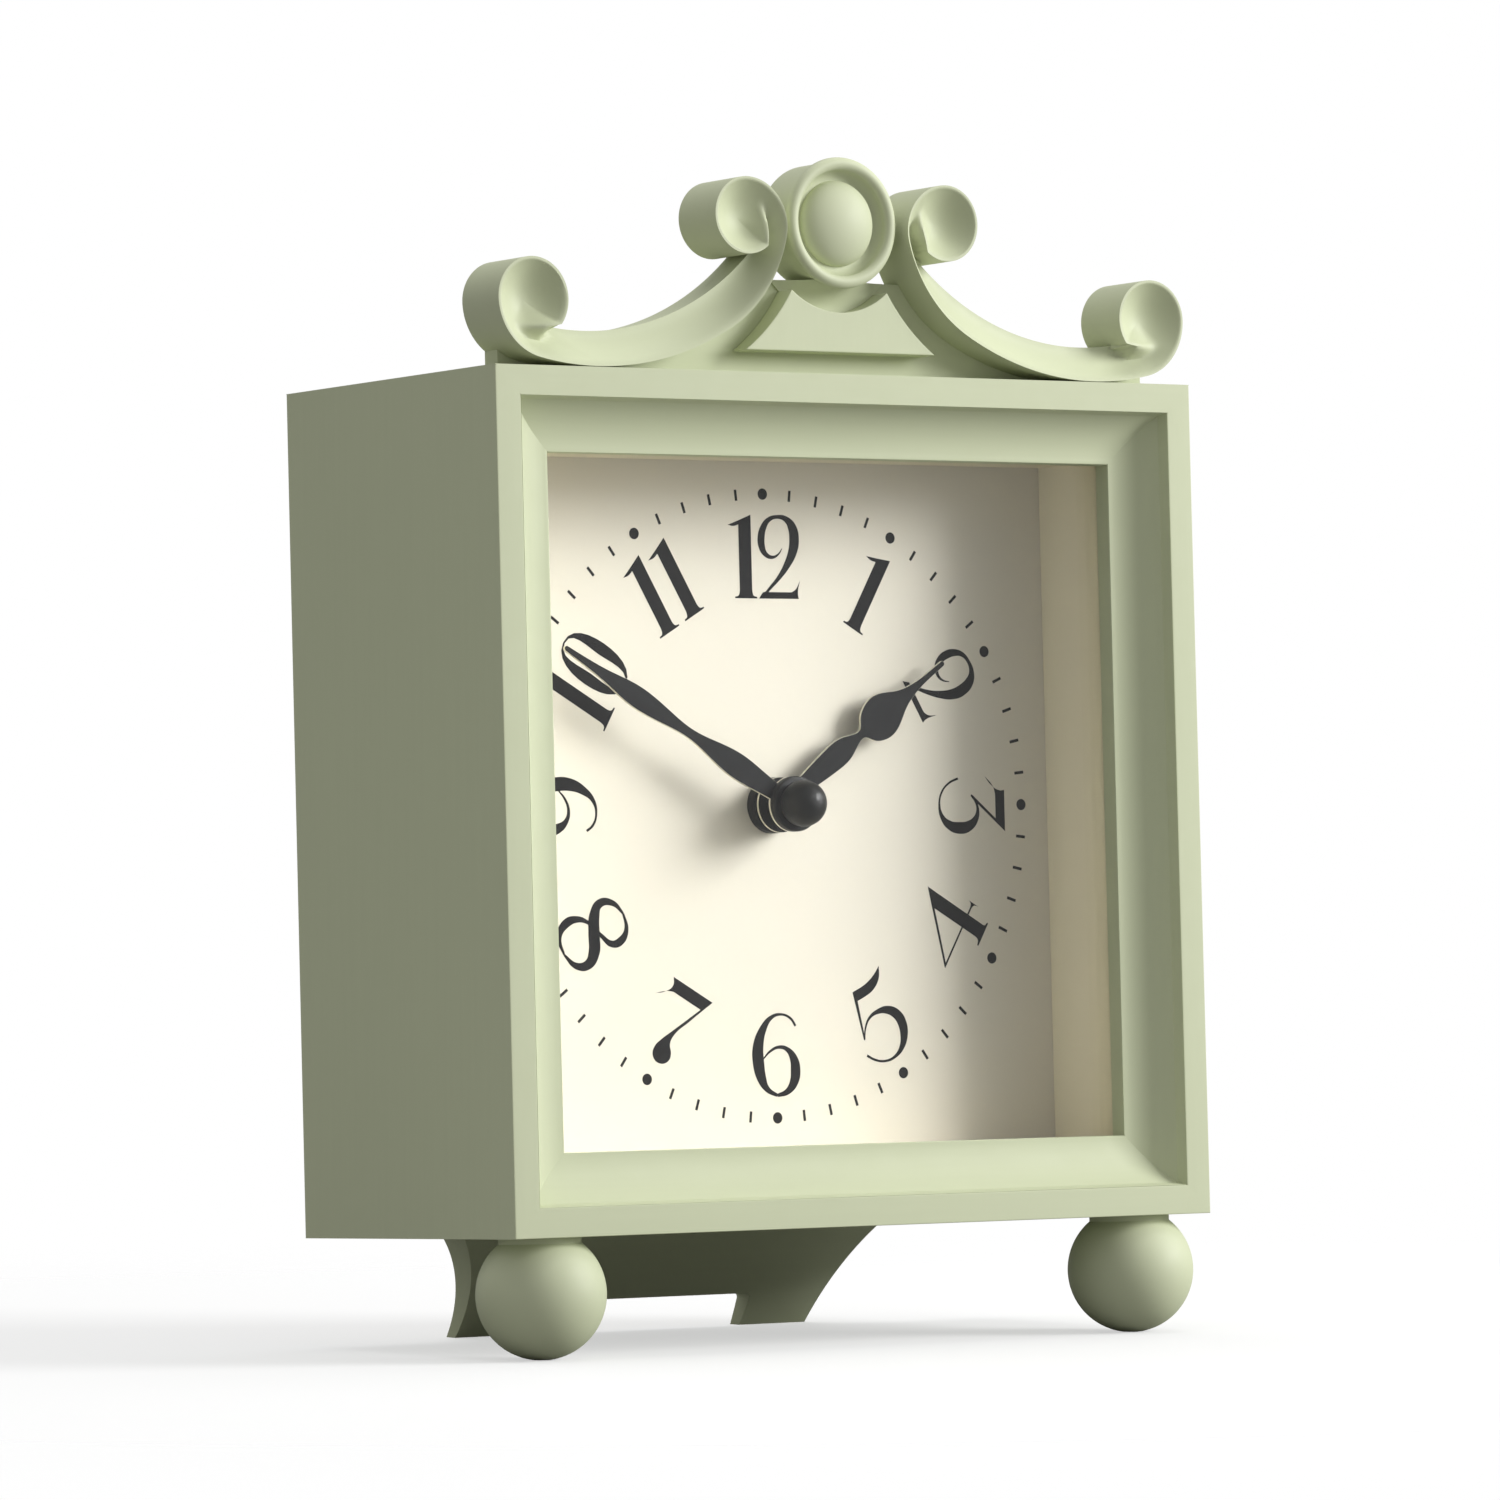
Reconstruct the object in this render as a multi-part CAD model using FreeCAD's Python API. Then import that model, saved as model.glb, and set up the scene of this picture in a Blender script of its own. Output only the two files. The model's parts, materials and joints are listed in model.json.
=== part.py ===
"""Square mantel clock with a scrolled crest, two ball feet and a swept rear stand.

Everything is drawn in the case's own frame: X across, Y from the front face to the back,
Z up from the underside of the case.  The finished clock is then leant back onto its feet and
moved so that the origin is at the middle of its footprint, on the surface it stands on.
"""
import FreeCAD
import Part
import math
import os

V = FreeCAD.Vector
os.makedirs("parts", exist_ok=True)

# ---------------------------------------------------------------- overall sizes, millimetres
case_w = 150.0            # width of the case
case_h = 150.0            # height of the case
case_d = 68.3             # depth of the case
lean_deg = 1.65           # how far the clock leans back on its feet

# ---------------------------------------------------------------- case and front moulding
board_t = 9.0             # case board
rim_w = 5.2               # flat front edge left beside the moulding
mould_w = 9.2             # moulding, from the rim to the sight edge
mould_d = 9.8             # moulding, front to back
quirk_in = 0.5            # the steep step beside the rim, sideways
quirk_d = 2.2             # and in depth
sight_d = 6.2             # depth of the sight edge behind the rim
cove_sag = 1.1            # hollow of the cove below its chord
glass_t = 2.0
pane_gap = 0.5            # room round the glass and the dial, each side
liner_inset = 13.4        # case side to the visible face of the liner
liner_d = 17.5            # glass to dial face
dial_face_t = 0.6
dial_board_t = 3.0
block_side = 11.0         # corner block
back_t = 4.0              # back panel
back_recess = 2.0         # back panel behind the back edge of the case
window = 72.0             # square hole in the back panel
screw_r = 1.5
screw_len = 14.0
screw_head_r = 3.0
screw_top_r = 2.1         # flat top of the head
screw_head_t = 1.6
screw_slot_w = 0.8
screw_slot_d = 0.7
glue_gap = 0.05           # round dowels, screws and pressed pieces
bush_hole_gap = 0.2       # round the bushing in dial and board

# ---------------------------------------------------------------- feet and rear stand
ball_r = 11.36
ball_inset = 11.25        # ball centre in from the side of the case
ball_y = 9.65             # ball centre behind the front
neck_h = 1.05             # collar between ball and case
neck_r = 7.2
foot_flat = 0.12          # flat worn under each ball
dowel_r = 3.0
dowel_down = 6.5          # dowel into the ball
dowel_up = 4.5            # and into the case, short of the moulding
stand_top_w = 93.2        # width of the stand at the case
stand_mid_w = 79.8        # at its waist
stand_toe_w = 77.0        # at the floor
stand_t = 7.2             # front to back at the case
stand_mid_t = 4.8
stand_toe_t = 3.0
stand_mid_z = -10.7       # height of the waist below the case
stand_sweep_mid = 5.8     # how far the back face has swept out at the waist
stand_sweep_toe = 11.5    # and at the toe
toe_trim = 0.14           # how far below the floor the sweep is drawn
toe_spare = 9.6           # and how far past that before the floor cuts it
arch_w = 45.8             # opening between the toes
arch_h = 5.86             # its height above the floor
toe_lean = 2.3            # how far the toe's inner edge leans outwards
arch_fillet = 1.2
peg_r = 2.0               # pegs that join the stand to the case
peg_reach = 6.5           # each way from the joint

# ---------------------------------------------------------------- crest, heights from the case top
crest_t = 11.5
crest_lift = 0.1          # scroll above the case top
volute_r = 7.2            # lower volute
volute_inset = 8.25       # its centre in from the side of the case
throat_r = 10.6           # arc under the lower volute
rise_r = 25.9             # arc up to the upper volute
shoulder_r = 8.5          # arc over its back
eye_r = 6.8               # upper volute
eye_x = 21.523            # its centre from the middle
band_w = 6.5
low_join_deg = -142.249     # where the band's upper edge meets the lower volute, about its centre
high_join_deg = -128.958    # and where it meets the eye
# degrees from +X at which the volute hands over to the throat, then sweep, rise, shoulder and eye
handovers = [-3.0, -77.8, -119.6, -165.9, -270.0]
plinth_inset = 5.4        # end of the backboard's foot in from the side of the case
board_front = 7.5         # front of the backboard behind the case front
board_top = 17.0
panel_front = 3.0
panel_z = 4.1
panel_half = 20.6
panel_top_half = 10.3
panel_side_sag = 0.8
boss_z = 27.0
ring_r = 10.5             # ring's centre line
ring_bead = 1.15          # radius of its rounded section
ring_y = 2.3              # bead's centre behind the case front
drum_r = 11.0
groove_y = 3.9
dome_r = 7.65
dome_rise = 3.6
spigot_r = 4.0
spigot_len = 4.0
collar_r = 15.75
collar_rim = 0.4          # edge of the coved skirt in front of the backboard
collar_bow = 0.7          # squareness of its cove, a straight slope being 0.5
collar_gap = 0.05
crest_peg_r = 1.4
crest_peg_x = 24.0
crest_peg_up = 3.5
crest_peg_down = 4.5

# ---------------------------------------------------------------- movement
mov_side = 56.0
mov_d = 16.0
mov_wall = 1.4
mov_corner_r = 2.8
washer_t = 0.8
washer_r = 9.0
bush_r = 3.5
bush_bore_r = 2.55
bush_proud = 2.3          # bushing in front of the dial
bush_flange_r = 5.5
bush_flange_t = 0.5
nut_r = 5.0
nut_t = 2.0
nut_round = 0.5
run_gap = 0.05            # radial running clearance
bay_h = 14.6              # battery bay
bay_wall = 1.4
cell_r = 7.1
cell_len = 49.2
nub_r = 2.75
nub_len = 1.3
contact_t = 0.4
gear_module = 0.5
cannon_teeth = 10
motion_teeth = 30
motion_pinion_teeth = 8
hour_teeth = 32
hour_wheel_t = 1.2
wheel_space = 0.3         # end play beside a wheel
cannon_space = 0.75       # between the hour wheel and the minute pinion
pinion_t = 1.8
motion_wheel_t = 1.2
plate_t = 1.2
pipe_wall = 0.85
motion_arbor_r = 1.0
knob_r = 6.0
knob_t = 4.0
knob_gap = 0.5
knob_flutes = 16
coil_r = 2.6
coil_len = 22.0
coil_roof_gap = 1.0       # coil to the movement's top wall
core_r = 1.1
circuit_w = 15.0
circuit_h = 21.0
circuit_t = 0.8
circuit_inset = 1.4       # its edges from the chamber's walls
chip_r = 3.0
chip_t = 1.2
chip_up = 7.5             # chip's centre above the board's lower edge

# ---------------------------------------------------------------- hands
hub_r = 4.95
hand_t = 0.5
hour_proud = 3.5          # front of the hour hand before the dial
hand_step = 3.7           # front of the minute hand before that
hand_collar_t = 0.6       # arbor's collar behind the minute hand
cap_collar_t = 1.4
cap_ball_r = 4.15
cap_proud = 7.5           # front of the ball before the minute hand
thread_r = 1.25
hour_angle = 55.0         # ten to two
minute_angle = 300.0
# distance from the pivot and half width, hub to tip
hour_blade = [(9.6, 1.95), (14.0, 2.3), (18.4, 1.9), (22.4, 1.0), (23.6, 2.5), (25.2, 3.6), (27.6, 4.1),
              (30.2, 3.4), (32.8, 2.0), (36.0, 1.0), (39.5, 0.6)]
hour_len = 44.8
minute_blade = [(9.0, 2.05), (13.4, 2.35), (18.0, 1.9), (22.0, 1.2), (26.0, 0.92), (30.0, 1.3), (34.0, 1.8),
                (37.5, 2.0), (41.0, 1.75), (45.0, 1.15), (49.5, 0.75)]
minute_len = 55.3
hands_drawn_for = 61.6    # half the dial opening; the hands' lengths follow it
tip_r = 0.5
root_share = 0.75         # the blade's width where it leaves the hub, of its first width
root_depth = 0.6          # and how far inside the hub it starts, of the hub's radius

# ---------------------------------------------------------------- places that follow from those
half_w = case_w / 2
hand_scale = (min(half_w, case_h / 2) - liner_inset) / hands_drawn_for
inner_x = half_w - board_t
inner_z0 = board_t
inner_z1 = case_h - board_t
axis_z = case_h / 2                       # hands turn about this height
glass_back = mould_d + glass_t
dial_depth = glass_back + liner_d
dial_back = dial_depth + dial_face_t + dial_board_t
mov_front = dial_back + washer_t
mov_back = mov_front + mov_d
back_y1 = case_d - back_recess
back_y0 = back_y1 - back_t
wheel_distance = gear_module * (cannon_teeth + motion_teeth) / 2
motion_z = axis_z + wheel_distance
lean = math.radians(lean_deg)
ball_x = half_w - ball_inset
ball_z = -neck_h - math.sqrt(ball_r * ball_r - neck_r * neck_r)
floor_drop = ball_r - foot_flat           # ball centre to the floor, square to the floor
toe_y = case_d + stand_sweep_toe
toe_floor_z = ball_z - floor_drop / math.cos(lean) + (toe_y - ball_y) * math.tan(lean)
stand_toe_z = toe_floor_z - toe_trim
arch_z = toe_floor_z + arch_h
top_z = case_h
volute_x = half_w - volute_inset
plinth_half = half_w - plinth_inset
hour_front = dial_depth - hour_proud
minute_front = hour_front - hand_step
cap_ball_front = minute_front - cap_proud


# ---------------------------------------------------------------- shape helpers
def box(x0, x1, y0, y1, z0, z1):
    return Part.makeBox(x1 - x0, y1 - y0, z1 - z0, V(x0, y0, z0))


def rod_y(x, z, radius, y0, y1):
    return Part.makeCylinder(radius, y1 - y0, V(x, y0, z), V(0, 1, 0))


def rod_z(x, y, radius, z0, z1):
    return Part.makeCylinder(radius, z1 - z0, V(x, y, z0), V(0, 0, 1))


def prism_y(points, y0, y1):
    """Upright outline given as (x, z), extruded from y0 to y1."""
    corners = [V(x, y0, z) for x, z in points]
    return Part.Face(Part.makePolygon(corners + corners[:1])).extrude(V(0, y1 - y0, 0))


def solid_y(edges, y0, y1):
    """Closed outline of edges drawn at y = 0, extruded from y0 to y1."""
    shape = Part.Face(Part.Wire(edges)).extrude(V(0, y1 - y0, 0))
    shape.translate(V(0, y0, 0))
    return shape


def on_circle(centre, radius, degrees):
    angle = math.radians(degrees)
    return V(centre.x + radius * math.cos(angle), 0, centre.z + radius * math.sin(angle))


def arc(centre, radius, start, end):
    """Arc in the upright plane, angles in degrees from +X towards +Z."""
    points = [on_circle(centre, radius, a) for a in (start, (start + end) / 2, end)]
    return Part.Arc(*points).toShape()


def arc_through(start, middle, end):
    return Part.Arc(start, middle, end).toShape()


def line(start, end):
    return Part.LineSegment(start, end).toShape()


def sagged(start, end, sag):
    """Arc between two points that bows by sag to the left of the way from start to end."""
    way = end - start
    side = V(-way.z, 0, way.x).normalize()
    return arc_through(start, (start + end) * 0.5 + side * sag, end)


def angle_on(centre, point):
    return math.degrees(math.atan2(point.z - centre.z, point.x - centre.x))


def mirrored(shape):
    return shape.mirror(V(0, 0, 0), V(1, 0, 0))


def turned(shape, degrees):
    """Turn clockwise about the hands' axis, as seen from the front."""
    result = shape.copy()
    result.rotate(V(0, 0, axis_z), V(0, 1, 0), degrees)
    return result


def revolved_y(points, x, z):
    """Closed (radius, y) outline spun about an axis along Y."""
    corners = [V(x + r, y, z) for r, y in points]
    return Part.Face(Part.makePolygon(corners + corners[:1])).revolve(V(x, 0, z), V(0, 1, 0), 360)


# ---------------------------------------------------------------- case, moulding, liner
def side_wedge(side, reach):
    """The part of the front view that belongs to one side of a mitred frame."""
    x, z = half_w, case_h
    wedges = {
        "bottom": [(-x, 0), (x, 0), (x - reach, reach), (-x + reach, reach)],
        "top": [(-x, z), (x, z), (x - reach, z - reach), (-x + reach, z - reach)],
        "left": [(-x, 0), (-x, z), (-x + reach, z - reach), (-x + reach, reach)],
        "right": [(x, 0), (x, z), (x - reach, z - reach), (x - reach, reach)],
    }
    return prism_y(wedges[side], 0, case_d)


def frame_side(edges_for, side, reach):
    """One mitred length; edges_for(place) draws its section with place(inset, depth)."""
    long_side = case_w if side in ("top", "bottom") else case_h
    if side == "bottom":
        place, way = (lambda u, d: V(-half_w, d, u)), V(long_side, 0, 0)
    elif side == "top":
        place, way = (lambda u, d: V(-half_w, d, case_h - u)), V(long_side, 0, 0)
    elif side == "left":
        place, way = (lambda u, d: V(-half_w + u, d, 0)), V(0, 0, long_side)
    else:
        place, way = (lambda u, d: V(half_w - u, d, 0)), V(0, 0, long_side)
    section = Part.Face(Part.Wire(edges_for(place)))
    return section.extrude(way).common(side_wedge(side, reach))


def polygon_section(points):
    def edges_for(place):
        corners = [place(u, d) for u, d in points]
        return Part.makePolygon(corners + corners[:1]).Edges
    return edges_for


def board_section():
    return polygon_section([(0, 0), (rim_w, 0), (rim_w, mould_d), (board_t, mould_d),
                            (board_t, case_d), (0, case_d)])


def moulding_section(place):
    step = (rim_w + quirk_in, quirk_d)
    sight = (rim_w + mould_w, sight_d)
    chord = math.hypot(sight[0] - step[0], sight[1] - step[1])
    middle = ((step[0] + sight[0]) / 2 - cove_sag * (sight[1] - step[1]) / chord,
              (step[1] + sight[1]) / 2 + cove_sag * (sight[0] - step[0]) / chord)
    return [line(place(rim_w, 0), place(*step)),
            arc_through(place(*step), place(*middle), place(*sight)),
            line(place(*sight), place(sight[0], mould_d)),
            line(place(sight[0], mould_d), place(rim_w, mould_d)),
            line(place(rim_w, mould_d), place(rim_w, 0))]


def liner_section():
    return polygon_section([(board_t, glass_back), (liner_inset, glass_back),
                            (liner_inset, dial_depth), (board_t, dial_depth)])


def inside_sheet(y0, y1):
    return box(-inner_x + pane_gap, inner_x - pane_gap, y0, y1, inner_z0 + pane_gap, inner_z1 - pane_gap)


def corner_places(inset):
    return [(sx * (inner_x - inset), axis_z + sz * (inner_z1 - axis_z - inset))
            for sx in (-1, 1) for sz in (-1, 1)]


def corner_blocks():
    half = block_side / 2
    blocks = [box(x - half, x + half, dial_back, back_y0, z - half, z + half)
              for x, z in corner_places(half)]
    holes = [rod_y(x, z, screw_r + glue_gap, back_y0 - screw_len, back_y0) for x, z in corner_places(half)]
    return Part.makeCompound([block.cut(hole) for block, hole in zip(blocks, holes)])


def back_panel():
    half = window / 2
    panel = inside_sheet(back_y0, back_y1)
    panel = panel.cut(box(-half, half, back_y0, back_y1, axis_z - half, axis_z + half))
    for x, z in corner_places(block_side / 2):
        panel = panel.cut(rod_y(x, z, screw_r + glue_gap, back_y0, back_y1))
    return panel


def back_screws():
    screws = []
    for x, z in corner_places(block_side / 2):
        screw = rod_y(x, z, screw_r, back_y1 + glue_gap - screw_len, back_y1)
        head = Part.makeCone(screw_head_r, screw_top_r, screw_head_t, V(x, back_y1, z), V(0, 1, 0))
        screw = screw.fuse(head)
        top = back_y1 + screw_head_t
        for wide, high in ((screw_head_r, screw_slot_w / 2), (screw_slot_w / 2, screw_head_r)):
            screw = screw.cut(box(x - wide, x + wide, top - screw_slot_d, top, z - high, z + high))
        screws.append(screw.removeSplitter())
    return Part.makeCompound(screws)


# ---------------------------------------------------------------- feet and stand
def floor_cutter():
    """Everything below the floor, in the case's frame."""
    reach = 4 * case_w
    block = box(-reach, reach, -reach, reach, -reach, 0)
    block.translate(V(0, 0, -floor_drop))
    block.rotate(V(0, 0, 0), V(1, 0, 0), lean_deg)
    block.translate(V(0, ball_y, ball_z))
    return block


def ball_foot(x):
    """Turned ball with its collar and blind dowel hole, spun from half its section."""
    hole_r = dowel_r + glue_gap
    hole_z = -neck_h - dowel_down
    low = V(0, 0, ball_z - ball_r)
    side = V(ball_r, 0, ball_z)
    join = V(neck_r, 0, -neck_h)
    shoulder = on_circle(V(0, 0, ball_z), ball_r, (angle_on(V(0, 0, ball_z), join)) / 2)
    edges = [arc_through(low, on_circle(V(0, 0, ball_z), ball_r, -45), side),
             arc_through(side, shoulder, join),
             line(join, V(neck_r, 0, 0)),
             line(V(neck_r, 0, 0), V(hole_r, 0, 0)),
             line(V(hole_r, 0, 0), V(hole_r, 0, hole_z)),
             line(V(hole_r, 0, hole_z), V(0, 0, hole_z)),
             line(V(0, 0, hole_z), low)]
    foot = Part.Face(Part.Wire(edges)).revolve(V(0, 0, 0), V(0, 0, 1), 360)
    foot.translate(V(x, ball_y, 0))
    return foot.cut(floor_cutter())


def foot_dowels():
    low, high = -neck_h - dowel_down + glue_gap, dowel_up - glue_gap
    return Part.makeCompound([rod_z(x, ball_y, dowel_r, low, high)
                              for x in (-ball_x, ball_x)])


def foot_dowel_holes():
    return Part.makeCompound([rod_z(x, ball_y, dowel_r + glue_gap, 0, dowel_up) for x in (-ball_x, ball_x)])


def stand_side_face():
    """Side view of the stand: it sweeps back and thins towards the toes."""
    back_top = V(0, case_d, 0)
    back_mid = V(0, case_d + stand_sweep_mid, stand_mid_z)
    back_toe = V(0, toe_y, stand_toe_z)
    front_top = V(0, case_d - stand_t, 0)
    front_mid = V(0, back_mid.y - stand_mid_t, stand_mid_z)
    front_toe = V(0, back_toe.y - stand_toe_t, stand_toe_z)

    def past_floor(mid, toe):
        return toe + (toe - mid).normalize() * toe_spare

    back_end = past_floor(back_mid, back_toe)
    front_end = past_floor(front_mid, front_toe)
    edges = [arc_through(back_top, back_mid, back_toe),
             line(back_toe, back_end),
             line(back_end, front_end),
             line(front_end, front_toe),
             arc_through(front_toe, front_mid, front_top),
             line(front_top, back_top)]
    return Part.Face(Part.Wire(edges))


def rear_stand():
    low = stand_toe_z - toe_spare
    toe_in = arch_w / 2 + toe_lean

    def right_edge(sign):
        return [arc_through(V(sign * stand_top_w / 2, 0, 0), V(sign * stand_mid_w / 2, 0, stand_mid_z),
                            V(sign * stand_toe_w / 2, 0, stand_toe_z)),
                line(V(sign * stand_toe_w / 2, 0, stand_toe_z), V(sign * stand_toe_w / 2, 0, low))]

    outline = right_edge(1) + [line(V(stand_toe_w / 2, 0, low), V(-stand_toe_w / 2, 0, low))]
    outline += right_edge(-1)[::-1] + [line(V(-stand_top_w / 2, 0, 0), V(stand_top_w / 2, 0, 0))]
    depth = toe_y + toe_spare
    front_view = solid_y(Part.sortEdges(outline)[0], 0, depth)
    side_view = stand_side_face()
    side_view.translate(V(-stand_top_w, 0, 0))
    stand = front_view.common(side_view.extrude(V(2 * stand_top_w, 0, 0)))
    arch = prism_y([(-arch_w / 2, arch_z), (arch_w / 2, arch_z), (toe_in, low), (-toe_in, low)], 0, depth)
    corners = [e for e in arch.Edges
               if abs(e.BoundBox.ZMin - arch_z) < 0.01 and e.BoundBox.YLength > depth / 2]
    arch = arch.makeFillet(arch_fillet, corners)
    stand = stand.cut(arch).cut(floor_cutter())
    for hole in stand_pegs(peg_r + glue_gap, glue_gap):
        stand = stand.cut(hole)
    return stand


def stand_pegs(radius, extra):
    """Pegs that run up the middle of the stand into the case bottom."""
    top = V(0, case_d - stand_t / 2, 0)
    waist = V(0, case_d + stand_sweep_mid - stand_mid_t / 2, stand_mid_z)
    way = (waist - top).normalize()
    start = top - way * (peg_reach + extra)
    length = 2 * peg_reach + 2 * extra
    return [Part.makeCylinder(radius, length, V(x, start.y, start.z), way)
            for x in (-stand_mid_w / 3, 0, stand_mid_w / 3)]


# ---------------------------------------------------------------- crest
def sweep_radius():
    """Radius of the long arc that brings the band from the lower volute to the upper one."""
    turn = [math.cos(math.radians(degrees)) for degrees in handovers]
    bends = (volute_r - throat_r) * turn[0] + throat_r * turn[1] - rise_r * turn[2]
    bends += (rise_r - shoulder_r) * turn[3] + (shoulder_r - eye_r) * turn[4]
    return (eye_x - volute_x - bends) / (turn[2] - turn[1])


def scroll_places():
    """Centre and radius of each arc of the outer edge, from the lower volute round to the eye."""
    sweep_r = sweep_radius()
    radii = [volute_r, throat_r, sweep_r, rise_r, shoulder_r, eye_r]
    centres = [V(volute_x, 0, 0)]
    for radius, next_radius, handover in zip(radii, radii[1:], handovers):
        centres.append(centres[-1] + on_circle(V(0, 0, 0), radius - next_radius, handover))
    lift = V(0, 0, top_z + crest_lift + sweep_r - centres[2].z)
    return [(centre + lift, radius) for centre, radius in zip(centres, radii)]


def scroll_outline():
    places = scroll_places()
    sweep, sweep_r = places[2]
    low_join = on_circle(places[0][0], volute_r, low_join_deg)
    high_join = on_circle(places[-1][0], eye_r, high_join_deg)
    halfway = (angle_on(sweep, low_join) + angle_on(sweep, high_join)) / 2
    middle = on_circle(sweep, sweep_r - band_w, halfway)
    starts = [low_join_deg + 360] + handovers
    ends = handovers + [high_join_deg - 360]
    outer = [arc(*place, start, end) for place, start, end in zip(places, starts, ends)]
    return outer + [arc_through(high_join, middle, low_join)]


def scroll():
    return solid_y(scroll_outline(), 0, crest_t)


def piece_at(shape, point):
    return [solid for solid in shape.Solids if solid.isInside(point, 0.01, True)][0]


def drum():
    return rod_y(0, top_z + boss_z, drum_r, board_front, crest_t)


def crest_backboard(scrolls):
    board = box(-plinth_half, plinth_half, board_front, crest_t, top_z, top_z + board_top)
    for other in scrolls:
        board = board.cut(other)
    board = board.cut(rod_y(0, top_z + boss_z, drum_r + collar_gap, 0, crest_t))
    board = piece_at(board, V(0, (board_front + crest_t) / 2, top_z + crest_lift / 2))
    for hole in crest_pegs(crest_peg_r + glue_gap, glue_gap):
        board = board.cut(hole)
    return board


def crest_pegs(radius, extra):
    y = (board_front + crest_t) / 2
    return [rod_z(x, y, radius, top_z - crest_peg_down - extra, top_z + crest_peg_up + extra)
            for x in (-crest_peg_x, crest_peg_x)]


def crest_panel():
    low_right = V(panel_half, 0, top_z + panel_z)
    low_left = V(-panel_half, 0, top_z + panel_z)
    boss = V(0, 0, top_z + boss_z)
    top_right = V(panel_top_half, 0, boss.z - math.sqrt(collar_r ** 2 - panel_top_half ** 2))
    top_left = V(-panel_top_half, 0, top_right.z)
    edges = [line(low_left, low_right),
             sagged(low_right, top_right, panel_side_sag),
             arc_through(top_right, V(0, 0, boss.z - collar_r), top_left),
             sagged(top_left, low_left, panel_side_sag)]
    return solid_y(edges, panel_front, board_front)


def boss_ring():
    z = top_z + boss_z
    bead = Part.makeTorus(ring_r, ring_bead, V(0, ring_y, z), V(0, 1, 0))
    body = rod_y(0, z, drum_r, ring_y, crest_t)
    ring = body.fuse(bead)
    ring = ring.cut(Part.makeCone(ring_r - ring_bead, dome_r + collar_gap, groove_y - ring_y,
                                  V(0, ring_y, z), V(0, 1, 0)))
    ring = ring.cut(rod_y(0, z, spigot_r + glue_gap, groove_y, groove_y + spigot_len))
    return ring


def boss_dome():
    z = top_z + boss_z
    sphere_r = (dome_r ** 2 + dome_rise ** 2) / (2 * dome_rise)
    cap = Part.makeSphere(sphere_r, V(0, groove_y - dome_rise + sphere_r, z))
    cap = cap.common(rod_y(0, z, dome_r, groove_y - dome_rise, groove_y))
    return cap.fuse(rod_y(0, z, spigot_r, groove_y, groove_y + spigot_len - glue_gap)).removeSplitter()


def boss_collar(scrolls):
    """Coved skirt round the drum, which runs down to the panel's hollow top edge."""
    z = top_z + boss_z
    inner = drum_r + collar_gap
    top_y = ring_y + ring_bead + collar_gap
    rim_y = board_front - collar_rim
    corners = [V(0, board_front, z - inner), V(0, top_y, z - inner), V(0, rim_y, z - collar_r),
               V(0, board_front, z - collar_r)]
    bow = V(0, top_y + (rim_y - top_y) * collar_bow, z - inner - (collar_r - inner) * (1 - collar_bow))
    section = Part.Face(Part.Wire([line(corners[0], corners[1]), arc_through(corners[1], bow, corners[2]),
                                   line(corners[2], corners[3]), line(corners[3], corners[0])]))
    skirt = section.revolve(V(0, 0, z), V(0, 1, 0), 360)
    skirt = skirt.common(box(-collar_r, collar_r, 0, crest_t, z - collar_r, top_z + board_top))
    for other in scrolls:
        skirt = skirt.cut(other)
    return piece_at(skirt, V(0, board_front - collar_rim / 2, z - (inner + collar_r) / 2))


# ---------------------------------------------------------------- movement
chamber_low = -mov_side / 2 + mov_wall + bay_h + bay_wall     # heights from the hands' axis
chamber_high = mov_side / 2 - mov_wall
bay_low = -mov_side / 2 + mov_wall
inner_half = mov_side / 2 - mov_wall
hour_wheel_y0 = mov_front + mov_wall + bush_flange_t + wheel_space
hour_wheel_y1 = hour_wheel_y0 + hour_wheel_t
cannon_y0 = hour_wheel_y1 + cannon_space
cannon_y1 = cannon_y0 + pinion_t
plate_y0 = cannon_y1 + wheel_space
plate_y1 = plate_y0 + plate_t
cover_y0 = mov_back - mov_wall
pipe_r = bush_bore_r - run_gap
arbor_r = pipe_r - pipe_wall - run_gap
coil_y = (plate_y1 + cover_y0) / 2
coil_z = axis_z + chamber_high - coil_r - coil_roof_gap
cell_y = mov_front + mov_wall + cell_r + run_gap
cell_z = axis_z + bay_low + bay_h / 2
cell_x0 = inner_half - contact_t - nub_len - cell_len


def gear(teeth, z, y0, y1, phase):
    """Stub-toothed wheel; phase is the angle of one tooth, degrees from +X towards +Z.
    A tooth's corners are given as shares of the pitch and heights in modules."""
    pitch_r = gear_module * teeth / 2
    pitch = 360.0 / teeth
    shares = [(-0.30, -1.15), (-0.19, 0.0), (-0.07, 0.72), (0.07, 0.72), (0.19, 0.0), (0.30, -1.15)]
    points = []
    for index in range(teeth):
        for share, height in shares:
            radius = pitch_r + gear_module * height
            angle = math.radians(phase + pitch * (index + share))
            points.append((radius * math.cos(angle), z + radius * math.sin(angle)))
    return prism_y(points, y0, y1)


def movement_case():
    half = mov_side / 2
    shell = box(-half, half, mov_front, mov_back, axis_z - half, axis_z + half)
    upright = [e for e in shell.Edges if e.BoundBox.YLength > mov_d / 2]
    shell = shell.makeFillet(mov_corner_r, upright)
    back = mov_front + mov_wall
    for low, high in ((chamber_low, chamber_high), (bay_low, bay_low + bay_h)):
        shell = shell.cut(box(-inner_half, inner_half, back, mov_back, axis_z + low, axis_z + high))
    return shell.cut(rod_y(0, axis_z, bush_r + glue_gap, mov_front, back))


def movement_cover():
    cover = box(-inner_half, inner_half, cover_y0, mov_back, axis_z + chamber_low, axis_z + chamber_high)
    return cover.cut(rod_y(0, motion_z, motion_arbor_r + run_gap, cover_y0, mov_back))


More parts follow.
